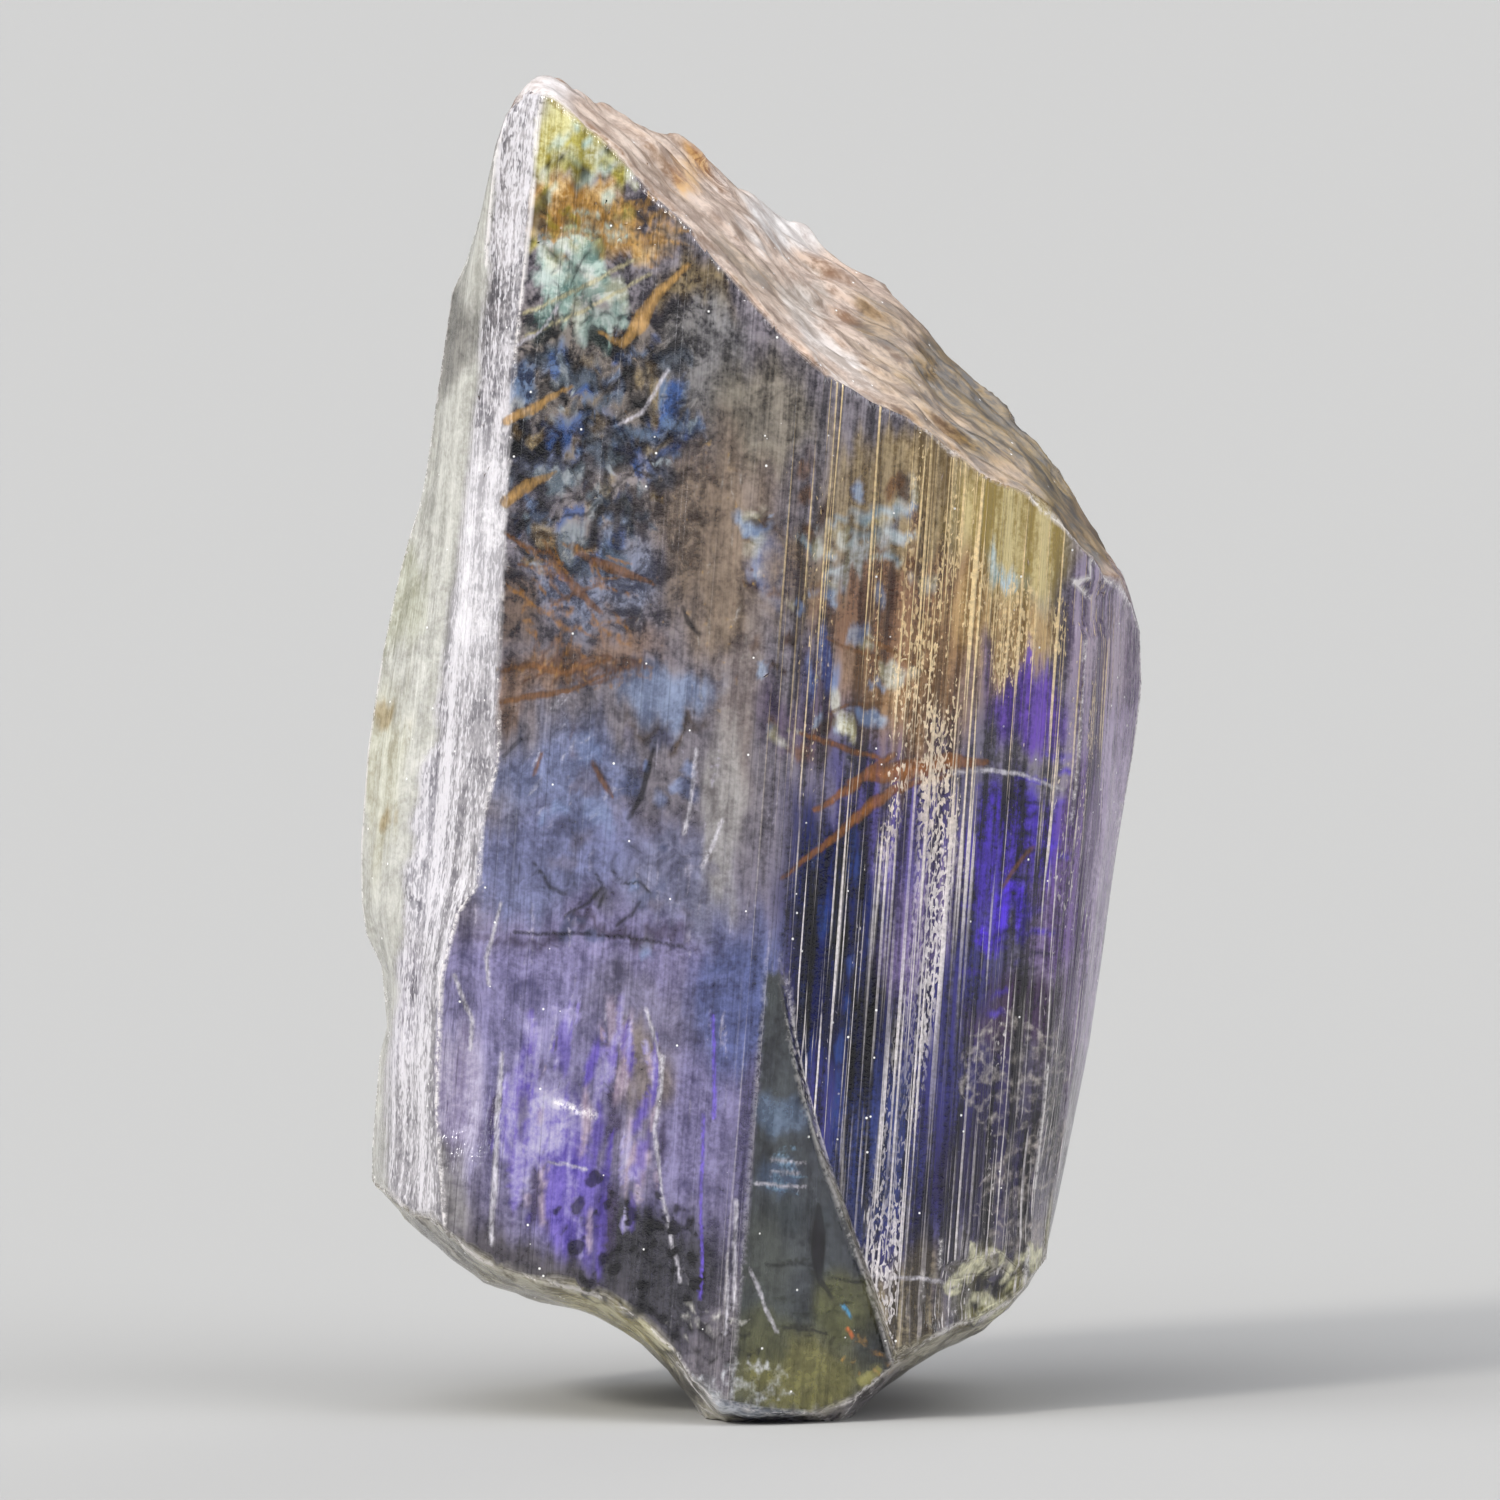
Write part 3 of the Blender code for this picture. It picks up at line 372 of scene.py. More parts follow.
# What is seen in cracks under the skin, painted where it shows: a colour, then widths in mm and a path of
# (across, height) for each
veins = {
    "gold ribbon": ("#BC9254", [
        ((0.11, 0.24, 0.33, 0.19, 0.06), [(-1.12, 21.22), (-1.71, 20.70), (-2.01, 20.18), (-2.31, 19.81), (-2.75, 20.03)]),
        ((0.17, 0.2, 0.07), [(-4.44, 18.31), (-3.96, 18.61), (-3.25, 19.05)]),
        ((0.22, 0.24, 0.07), [(-4.48, 16.90), (-4.07, 17.23), (-3.59, 17.46)]),
    ]),
    "gold thread": ("#A87C3C", [
        ((0.05, 0.06, 0.05), [(-3.51, 22.42), (-2.77, 22.24), (-1.84, 22.35)]),
        ((0.06, 0.07, 0.05), [(-3.79, 22.09), (-2.96, 21.90), (-1.75, 21.83)]),
        ((0.05, 0.06, 0.05), [(-3.73, 21.87), (-2.96, 21.76), (-2.03, 21.68)]),
        ((0.05, 0.06, 0.05), [(-3.66, 22.28), (-2.96, 22.09), (-2.21, 21.87)]),
        ((0.05, 0.06, 0.05), [(-3.79, 21.68), (-3.14, 21.79), (-1.51, 21.65)]),
    ]),
    "pale streak": ("#CCC298", [
        ((0.07, 0.11, 0.07), [(-4.18, 20.33), (-3.14, 20.77), (-2.08, 21.37)]),
        ((0.06, 0.06, 0.05), [(-4.10, 19.94), (-3.05, 20.40), (-1.84, 21.09)]),
    ]),
    "rust ribbon": ("#7A5028", [
        ((0.05, 0.13, 0.22, 0.06), [(-3.77, 16.23), (-3.51, 15.75), (-3.18, 15.34), (-2.71, 14.83)]),
        ((0.06, 0.26, 0.17, 0.05), [(-3.20, 15.99), (-2.55, 15.70), (-2.18, 15.55), (-1.73, 15.38)]),
        ((0.05, 0.11, 0.05), [(-3.62, 15.01), (-3.18, 15.27), (-2.66, 15.42)]),
        ((0.09, 0.13, 0.06), [(-4.51, 16.35), (-4.10, 16.09), (-3.59, 15.94)]),
        ((0.05, 0.07, 0.05), [(-4.25, 15.75), (-3.88, 15.68), (-3.40, 15.83)]),
        ((0.09, 0.15, 0.11, 0.06), [(-4.61, 13.23), (-3.88, 13.31), (-3.16, 13.44), (-2.10, 13.95)]),
        ((0.06, 0.15, 0.19, 0.09), [(-4.57, 13.75), (-4.07, 13.86), (-3.33, 13.75), (-2.55, 14.01)]),
        ((0.06, 0.15, 0.05), [(-2.92, 12.12), (-2.77, 11.82), (-2.57, 11.49)]),
        ((0.06, 0.09, 0.06), [(-3.83, 12.31), (-3.90, 12.08), (-3.96, 11.90)]),
        ((0.05, 0.09, 0.06), [(1.45, 13.08), (1.86, 13.19), (2.49, 13.27)]),
        ((0.06, 0.11, 0.06), [(2.12, 14.42), (2.64, 14.20), (3.35, 13.75)]),
        ((0.09, 0.11, 0.06), [(4.66, 9.82), (4.86, 10.12), (5.16, 10.49)]),
        ((0.05, 0.07, 0.05), [(1.42, 14.42), (1.90, 14.20), (2.42, 14.05)]),
    ]),
    "amber ribbon": ("#8A5524", [
        ((0.1, 0.3, 0.42, 0.32, 0.12), [(1.79, 11.82), (2.31, 11.93), (2.83, 12.03), (3.68, 12.18), (4.36, 12.12)]),
        ((0.08, 0.16, 0.22, 0.2, 0.14, 0.08), [(0.57, 10.06), (1.49, 10.77), (2.25, 11.42), (2.59, 11.66),
                                               (2.99, 11.79), (3.73, 11.93)]),
        ((0.1, 0.2, 0.12), [(1.2, 11.3), (1.9, 11.75), (2.6, 12.3)]),
        ((0.08, 0.14, 0.08), [(0.9, 12.75), (1.7, 12.4), (2.5, 12.2)]),
    ]),
    "dark crack": ("#17151C", [
        ((0.05, 0.06, 0.05, 0.06, 0.05), [(-1.31, 18.42), (-1.68, 17.83), (-2.42, 17.16), (-3.01, 16.70), (-3.62, 16.62)]),
        ((0.06, 0.15, 0.13, 0.05), [(-1.75, 12.42), (-1.88, 11.97), (-2.03, 11.49), (-2.25, 11.08)]),
        ((0.05, 0.06, 0.05, 0.05), [(-3.96, 10.27), (-3.77, 10.08), (-3.66, 9.82), (-3.40, 9.67)]),
        ((0.05, 0.06, 0.05), [(-2.84, 10.08), (-2.66, 9.75), (-2.77, 9.45)]),
        ((0.05, 0.06, 0.05, 0.05), [(-2.55, 10.16), (-2.36, 9.90), (-2.03, 9.97), (-1.81, 9.67)]),
        ((0.05, 0.05, 0.05), [(-3.40, 9.27), (-2.96, 9.49), (-2.70, 9.82)]),
        ((0.05, 0.05, 0.05), [(-2.03, 9.60), (-2.21, 9.34), (-2.44, 9.12)]),
        ((0.05, 0.06, 0.06, 0.05), [(-4.29, 8.99), (-3.12, 8.95), (-1.94, 8.88), (-1.10, 8.69)]),
        ((0.06, 0.07, 0.06), [(-4.55, 12.23), (-4.40, 12.38), (-4.18, 12.56)]),
        ((0.06, 0.07, 0.06), [(4.77, 11.53), (4.99, 11.34), (5.31, 11.34)]),
        ((0.05, 0.07, 0.05), [(0.27, 2.95), (0.75, 2.93), (1.20, 2.87)]),
        ((0.05, 0.07, 0.05), [(1.47, 2.67), (1.79, 2.61), (2.08, 2.58)]),
        ((0.05, 0.09, 0.05), [(0.60, 1.80), (1.01, 1.76), (1.42, 1.69)]),
        ((0.11, 0.28, 0.3, 0.15, 0.06), [(1.29, 4.04), (1.27, 3.54), (1.23, 3.08), (1.29, 2.67), (1.53, 2.30)]),
        ((0.06, 0.13, 0.06), [(-1.21, 14.97), (-1.10, 14.71), (-0.92, 14.53)]),
    ]),
    "white feather": ("#E2DDE6", [
        ((0.05, 0.06, 0.07, 0.05), [(-2.38, 18.31), (-2.01, 18.53), (-1.71, 18.98), (-1.51, 19.31)]),
        ((0.06, 0.07, 0.06), [(-0.97, 12.38), (-1.12, 11.27), (-1.20, 10.86)]),
        ((0.06, 0.09, 0.06), [(-0.51, 11.12), (-0.69, 10.67), (-0.90, 10.19)]),
        ((0.05, 0.06, 0.05), [(-1.94, 7.60), (-1.64, 6.71), (-1.71, 5.93)]),
        ((0.07, 0.09, 0.06), [(-5.40, 8.15), (-5.11, 7.38), (-5.16, 6.82)]),
        ((0.05, 0.06, 0.05), [(-4.55, 9.54), (-4.83, 8.49), (-4.77, 8.01)]),
        ((0.06, 0.11, 0.13, 0.09), [(-4.57, 6.78), (-4.62, 5.67), (-4.68, 4.37), (-4.73, 3.22)]),
        ((0.05, 0.07, 0.05), [(-3.66, 4.78), (-3.33, 4.73), (-2.99, 4.65)]),
        ((0.05, 0.06, 0.05, 0.05), [(-1.58, 6.78), (-1.71, 5.49), (-1.58, 4.19), (-1.29, 2.67)]),
        ((0.05, 0.06, 0.05), [(-0.03, 2.89), (0.25, 2.15), (0.49, 1.74)]),
        ((0.05, 0.05, 0.05), [(-0.40, 3.24), (-0.44, 2.52), (-0.45, 1.67)]),
        ((0.05, 0.05, 0.05), [(-0.25, 4.19), (-0.27, 3.26), (-0.31, 2.15)]),
        ((0.05, 0.06, 0.05), [(0.42, 4.91), (0.71, 4.87), (1.05, 4.84)]),
        ((0.05, 0.06, 0.05), [(0.42, 4.69), (0.68, 4.67), (0.97, 4.65)]),
        ((0.05, 0.07, 0.05), [(0.14, 4.47), (0.60, 4.43), (1.08, 4.39)]),
        ((0.05, 0.07, 0.06), [(2.27, 2.72), (2.79, 2.65), (3.42, 2.58)]),
        ((0.06, 0.07, 0.07, 0.09, 0.07, 0.06), [(3.73, 11.95), (4.09, 11.99), (4.40, 11.97), (4.70, 11.92), (4.99, 11.86), (5.72, 11.58)]),
        ((0.05, 0.06, 0.05), [(-4.25, 19.76), (-3.79, 20.09), (-3.51, 20.50)]),
    ]),
    "graphite grain": ("#0C0B10", [
        ((0.3, 0.22), [(-3.20, 3.24), (-3.12, 3.30)]),
        ((0.26, 0.2), [(-2.83, 4.54), (-2.76, 4.47)]),
        ((0.2, 0.16), [(-2.99, 2.60), (-2.92, 2.64)]),
        ((0.24, 0.18), [(-2.47, 2.85), (-2.38, 2.90)]),
        ((0.22, 0.2), [(-2.16, 3.89), (-2.10, 3.80)]),
        ((0.2, 0.26), [(-1.43, 3.57), (-1.36, 3.64)]),
        ((0.2, 0.14), [(-1.99, 2.57), (-1.92, 2.60)]),
        ((0.16, 0.12), [(-3.52, 3.9), (-3.47, 3.94)]),
    ]),
    "blue spark": ("#58B8F0", [((0.1, 0.16, 0.08), [(1.72, 2.15), (1.86, 1.95)])]),
    "orange spark": ("#F07A3C", [((0.06, 0.12, 0.06), [(1.80, 1.75), (1.90, 1.60)])]),
    "violet thread": ("#8468F0", [
        ((0.05, 0.07, 0.07, 0.05), [(-0.86, 5.74), (-0.88, 4.74), (-0.90, 3.45), (-0.92, 2.37)]),
        ((0.05, 0.06, 0.05), [(-0.62, 7.52), (-0.66, 6.60), (-0.69, 5.67)]),
    ]),
}

# Short strokes thrown at random inside an oval: colour, how many, across, height, half width, half height,
# length, direction in degrees, how much that varies, bend, width
strokes = {
    "crazed cracks": ("#2C2838", 34, -2.9, 9.85, 1.7, 1.0, 0.55, 50, 80, 60, 0.05),
    "curved shadows": ("#1A1A20", 22, -3.1, 20.4, 1.0, 1.2, 0.7, 30, 60, 70, 0.1),
    "upper crack": ("#17151C", 26, -2.4, 17.9, 1.5, 1.6, 0.7, 35, 50, 50, 0.09),
    "fine cracks": ("#241F2C", 16, -2.6, 8.85, 1.9, 0.3, 0.8, 0, 20, 20, 0.05),
    "gold fibres": ("#C89850", 50, -2.7, 22.0, 1.3, 0.5, 0.9, 0, 45, 30, 0.09),
    "dark fibres": ("#3A2A14", 24, -2.0, 21.7, 1.2, 0.6, 0.7, 20, 90, 60, 0.08),
    "pane bars": ("#2A2C24", 16, 0.9, 2.6, 0.8, 1.3, 0.5, 0, 3, 0, 0.09),
    "pane glows": ("#8EB0CC", 9, 0.5, 4.7, 0.4, 0.5, 0.4, -6, 4, 0, 0.1),
    "veil fibres": ("#A87434", 34, -3.5, 15.4, 1.0, 1.0, 0.9, -35, 30, 20, 0.09),
    "brown fibres": ("#64402A", 34, -3.4, 13.7, 1.4, 0.4, 0.7, 15, 25, 30, 0.09),
    "gold crumbs": ("#B8884C", 50, -3.2, 13.75, 1.5, 0.35, 0.1, 15, 60, 0, 0.07),
    "pale scratches": ("#D9D6E2", 26, -3.6, 12.0, 1.2, 1.2, 0.4, 40, 25, 10, 0.045),
    "upright scratches": ("#CFC8DA", 60, -2.2, 9.0, 3.2, 4.6, 0.7, 86, 4, 4, 0.045),
    "upper scratches": ("#C9C3BC", 30, -0.9, 16.5, 1.6, 3.6, 0.6, 84, 12, 10, 0.045),
    "plum comb": ("#D6CAC2", 70, 5.0, 3.9, 0.9, 1.1, 0.9, 32, 14, 24, 0.055),
    "plum crumbs": ("#D6CCC4", 200, 4.8, 6.3, 1.0, 1.2, 0.2, 30, 60, 30, 0.06),
    "rubble crumbs": ("#F6F1CC", 46, 4.7, 2.2, 1.3, 0.8, 0.4, 40, 60, 40, 0.2),
    "rubble pits": ("#1E1A1C", 40, 4.9, 2.0, 1.2, 0.8, 0.3, 30, 90, 40, 0.14),
    "foot crackle": ("#EEF0F6", 70, -0.1, 0.75, 0.9, 0.4, 0.22, 70, 60, 40, 0.07),
    "foot glitter": ("#E8E4DC", 26, -0.9, 1.9, 0.8, 0.25, 0.14, 20, 90, 0, 0.09),
    "foot dark": ("#100E10", 34, -0.8, 1.5, 1.0, 0.5, 0.3, -30, 40, 30, 0.12),
    "amber sparks": ("#D9A048", 26, 2.3, 1.1, 0.7, 0.5, 0.14, 80, 30, 0, 0.07),
}

# Round grains: colour, how many, across, height, half width, half height, least and largest width
grains = {
    "graphite": ("#0E0D10", 120, -2.0, 3.1, 1.35, 1.2, 0.07, 0.24),
    "graphite left": ("#141216", 14, -3.1, 3.3, 0.7, 1.0, 0.06, 0.12),
    "graphite big": ("#121118", 3, -3.0, 3.6, 0.3, 0.9, 0.24, 0.3),
    "iron dots": ("#5A2C10", 50, -0.8, 15.6, 1.1, 2.6, 0.06, 0.09),
    "gold dots": ("#E0B468", 60, -0.8, 15.6, 1.1, 2.6, 0.05, 0.08),
}


# Small reflections of the far faces: how many, across, height, half width, half height, turn, then the
# least and largest half width of one, how tall it is for its width, how far it turns, how bent it is, and
# its colours, clean and dark
glints = [
    (260, -2.9, 17.9, 1.7, 2.4, 12, 0.04, 0.2, 2.4, 75, 0.7,
     (("#8CA8D0", "#2A3858"), ("#14131A", "#08080C"), ("#EAF2F4", "#8C9CA8"), ("#101018", "#060608"),
      ("#4E7CCC", "#101C3C"), ("#CDB68C", "#5A4420"), ("#23222C", "#0C0C12"), ("#6E8094", "#2C3440"))),
    (80, -3.1, 22.4, 0.9, 1.6, 20, 0.05, 0.2, 1.4, 60, 0.6,
     (("#FBFBE4", "#C4C894"), ("#2E2A1C", "#141008"), ("#E6F8EE", "#A8C4B8"), ("#D8CC5C", "#8A7C20"))),
    (50, -3.2, 20.8, 0.9, 0.8, 20, 0.05, 0.22, 1.8, 60, 0.6,
     (("#E8FAF2", "#A4C4B8"), ("#1E221E", "#0C100C"), ("#D6F0E4", "#6C9088"), ("#F2F4E4", "#B0B49C"))),
    (30, 2.1, 16.2, 1.1, 0.8, 8, 0.14, 0.4, 0.3, 14, 0.6,
     (("#EEF6F8", "#B8C8CC"), ("#4A3C18", "#241C08"), ("#F6EED0", "#B8A468"), ("#C8DCE4", "#7C949C"))),
    (40, -6.5, 13.5, 0.5, 6.0, 5, 0.1, 0.4, 2.0, 12, 0.4,
     (("#FFFFF8", "#E8E6DA"), ("#8C8A7C", "#5C5A4E"), ("#FFFEF2", "#DCD8C4"))),
    (90, 1.6, 15.2, 1.8, 3.0, 4, 0.05, 0.24, 1.2, 60, 0.6,
     (("#B8C8DC", "#64789C"), ("#4A2C18", "#201008"), ("#F2F2E4", "#9C946C"), ("#8A6036", "#3A2210"))),
    (70, 4.9, 10.0, 0.9, 3.2, 4, 0.1, 0.34, 0.2, 8, 0.3,
     (("#120A3C", "#06041C"), ("#6A4CE8", "#241470"), ("#0C0828", "#050412"), ("#4A30B0", "#180C50"))),
    (120, -3.1, 5.4, 1.6, 2.2, 0, 0.03, 0.12, 6.0, 5, 0.3,
     (("#E6E0FF", "#8A74D8"), ("#8E78E8", "#4A349C"), ("#5C4E74", "#2E2640"), ("#F0DCE8", "#9C84A0"))),
    (46, -2.4, 10.6, 1.9, 2.2, 0, 0.08, 0.28, 1.2, 40, 0.5,
     (("#A8B8E2", "#66749E"), ("#5A648C", "#30364E"), ("#8E88A0", "#4E4A5C"))),
    (40, 1.6, 8.6, 0.8, 3.4, 4, 0.04, 0.12, 6.0, 4, 0.3,
     (("#264084", "#0C1640"), ("#04051A", "#02020C"), ("#16246C", "#080C2E"))),
]


def spotShare(points, across, height, halfWidth, halfHeight, turn, strength, edge=0.55):
    # a soft oval seen from the front: 0 outside it, strength in its middle
    bend = math.radians(turn)
    wide = ((points[:, 0] - across) * math.cos(bend) - (points[:, 2] - height) * math.sin(bend)) / halfWidth
    high = ((points[:, 0] - across) * math.sin(bend) + (points[:, 2] - height) * math.cos(bend)) / halfHeight
    share = np.clip((1.0 - np.hypot(wide, high)) / edge, 0.0, 1.0)
    return share * share * (3.0 - 2.0 * share) * strength


def scattered(dice, across, height, halfWidth, halfHeight, turn):
    # a random place inside an oval
    angle, reach, bend = dice.uniform(0.0, math.tau), math.sqrt(dice.random()), math.radians(turn)
    wide, high = math.cos(angle) * reach * halfWidth, math.sin(angle) * reach * halfHeight
    return (across + wide * math.cos(bend) + high * math.sin(bend),
            height - wide * math.sin(bend) + high * math.cos(bend))


def reachOf(x, z, widths, path):
    # how far inside the edge of a painted line each place lies, in mm; below 0 beside it
    best = np.full(len(x), -1.0)
    halves = np.interp(np.linspace(0.0, 1.0, len(path)), np.linspace(0.0, 1.0, len(widths)), widths) / 2
    for (x0, z0), (x1, z1), half0, half1 in zip(path, path[1:], halves, halves[1:]):
        run = (x1 - x0) ** 2 + (z1 - z0) ** 2
        walked = np.clip(((x - x0) * (x1 - x0) + (z - z0) * (z1 - z0)) / run, 0.0, 1.0)
        apart = np.hypot(x - x0 - walked * (x1 - x0), z - z0 - walked * (z1 - z0))
        best = np.maximum(best, half0 + (half1 - half0) * walked - apart)
    return best


def besideVeins(points):
    # whether each place lies on a named ribbon or crack, or within 0.08 mm of one
    reach = np.full(len(points), -1.0)
    for hexColour, entries in veins.values():
        for widths, path in entries:
            low, high = np.min(path, axis=0) - 0.35, np.max(path, axis=0) + 0.35
            near = np.flatnonzero((points[:, 0] > low[0]) & (points[:, 0] < high[0])
                                  & (points[:, 2] > low[1]) & (points[:, 2] < high[1]))
            reach[near] = np.maximum(reach[near], reachOf(points[near, 0], points[near, 2], widths, path))
    return reach > -0.08


def veinLines(dice):
    # every painted line: its colour, widths and path
    for hexColour, entries in veins.values():
        for widths, path in entries:
            yield hexColour, [max(width, stone["leastVein"]) for width in widths], path
    for hexColour, number, across, height, halfWidth, halfHeight, length, way, spread, bend, width in strokes.values():
        for stroke in range(number):
            x, z = scattered(dice, across, height, halfWidth, halfHeight, 0)
            angle = math.radians(way + dice.uniform(-spread, spread))
            turn = math.radians(dice.uniform(-bend, bend))
            path = [(x, z)]
            for part in range(3):
                step = length * dice.uniform(0.2, 0.45)
                x, z = x + math.cos(angle) * step, z + math.sin(angle) * step
                angle += turn
                path.append((x, z))
            yield hexColour, (width * 0.4, width * dice.uniform(0.8, 1.2), width * 0.3), path
    for hexColour, number, across, height, halfWidth, halfHeight, least, largest in grains.values():
        for grain in range(number):
            x, z = scattered(dice, across, height, halfWidth, halfHeight, 0)
            size = least + (largest - least) * dice.random() ** 2
            yield hexColour, (size, size * 0.7), [(x, z), (x + size * dice.uniform(-0.4, 0.4), z + size * 0.3)]


def paintVeins(points, facing):
    reach = np.full(len(points), -1.0)
    colour = np.zeros((len(points), 4))
    for hexColour, widths, path in veinLines(random.Random(11)):
        low, high = np.min(path, axis=0) - 0.35, np.max(path, axis=0) + 0.35
        near = np.flatnonzero(facing & (points[:, 0] > low[0]) & (points[:, 0] < high[0])
                              & (points[:, 2] > low[1]) & (points[:, 2] < high[1]))
        found = reachOf(points[near, 0], points[near, 2], widths, path)
        closer = found > reach[near]
        reach[near[closer]] = found[closer]
        colour[near[closer]] = linearColour(hexColour)
    return reach, colour


def paintStone(mesh, masks):
    # the zones become colours of the mesh, one for where the stone is clean and one for where it is dark
    count = len(mesh.vertices)
    places = np.empty(count * 3, dtype=np.float32)
    mesh.vertices.foreach_get("co", places)
    points = places.reshape(count, 3) / mm
    wander = np.array([noise.noise_vector(Vector((x * 0.8, y * 0.8, z * 0.5))) * 0.55
                       + noise.noise_vector(Vector((x * 2.4, y * 2.4, z * 1.0))) * 0.3
                       + noise.noise_vector(Vector((x * 7.0, y * 7.0, z * 0.9))) * 0.22
                       for x, y, z in points.tolist()])
    wandered = points + wander * 0.65
    wandered[:, 2] += wander[:, 2] * (0.6 + 0.7 * masks["striae"])
    light = np.tile(linearColour("#9C949C"), (count, 1))
    dark = np.tile(linearColour("#3C3840"), (count, 1))

    def lay(share, lightHex, darkHex):
        light[:] += (np.array(linearColour(lightHex)) - light) * share[:, None]
        dark[:] += (np.array(linearColour(darkHex)) - dark) * share[:, None]

    for across, height, halfWidth, halfHeight, turn, lightHex, darkHex, strength in zones.values():
        lay(spotShare(wandered, across, height, halfWidth, halfHeight, turn, strength), lightHex, darkHex)
    dice = random.Random(7)
    for (number, across, height, halfWidth, halfHeight, turn, least, largest, tallness,
         spread, warp, colours) in glints:
        for glint in range(number):
            x, z = scattered(dice, across, height, halfWidth, halfHeight, turn)
            size = least + (largest - least) * dice.random() ** 1.5
            share = spotShare(points + wander * warp, x, z, size, size * tallness * dice.uniform(0.7, 1.4),
                              dice.uniform(-spread, spread) + leanDegrees, dice.uniform(0.5, 0.95), 0.4)
            lay(share, *dice.choice(colours))
    normals = np.empty(count * 3, dtype=np.float32)
    mesh.vertices.foreach_get("normal", normals)
    towardsBack = normals.reshape(count, 3)[:, 1]
    lay(np.clip(towardsBack * 2.5, 0.0, 1.0) * (1.0 - masks["end"]) * 0.65, "#A29CB4", "#4A465C")
    clear = np.full(count, 0.3)
    for across, height, halfWidth, halfHeight, turn, clearness in windows.values():
        clear += (clearness - clear) * spotShare(wandered, across, height, halfWidth, halfHeight, turn, 1.0)
    dull = np.zeros(count)
    for region, look in regionLooks.items():
        share = masks[region]
        lay(share, look["light"], look["dark"])
        for across, height, halfWidth, halfHeight, turn, lightHex, darkHex, strength in look["zones"]:
            spot = spotShare(points + wander * 0.6, across, height, halfWidth, halfHeight, turn, strength)
            lay(spot * share, lightHex, darkHex)
        clear += (look["clear"] - clear) * share
        dull += (look["dull"] - dull) * share
    dust = np.zeros(count)
    for spot in dusts.values():
        dust = np.maximum(dust, spotShare(wandered, *spot))
    blotchy = 0.12 + 0.4 * (1.0 - masks["striae"])
    blotchy = np.maximum(blotchy, spotShare(points, -2.6, 18.6, 3.2, 6.5, 0, 1.0))
    blotchy = np.maximum(blotchy, spotShare(points, -2.6, 11.2, 3.2, 3.0, 0, 0.7))
    calm = np.clip((15.0 - points[:, 2]) / 2.0, 0.0, 1.0) * (1.0 - masks["striae"]) * (1.0 - masks["foot"])
    calm = np.maximum(calm, spotShare(points, -0.4, 16.5, 1.7, 4.6, 0, 0.8))
    broken = np.array([noise.fractal(Vector(((x - leanSlope * z) * 1.6, y * 1.6, z * 0.1)), 0.6, 2.0, 2)
                       for x, y, z in points.tolist()]) * 0.35 + 0.5
    pitted = np.maximum(masks["end"], masks["foot"])
    calm = np.maximum(calm, np.maximum(masks["end"] * 0.7, masks["rim"]))
    even = np.maximum(masks["pane"], np.maximum(masks["end"] * 0.75, masks["rim"] * 0.7))
    facing = (towardsBack < -0.1) & (masks["end"] < 0.5)
    vein, veinColour = paintVeins(points + wander * 0.12, facing)
    for name, values in (("light", light), ("dark", dark), ("veinColour", veinColour)):
        layer = mesh.attributes.new(name, "FLOAT_COLOR", "POINT")
        layer.data.foreach_set("color", values.astype(np.float32).ravel())
    plain = {"clear": clear, "dull": dull, "dust": dust, "blotchy": blotchy, "pitted": pitted,
             "striae": masks["striae"], "even": even, "edge": masks["edge"], "frost": masks["frost"],
             "vein": vein, "calm": calm, "broken": broken}
    for name, values in plain.items():
        layer = mesh.attributes.new(name, "FLOAT", "POINT")
        layer.data.foreach_set("value", values.astype(np.float32))


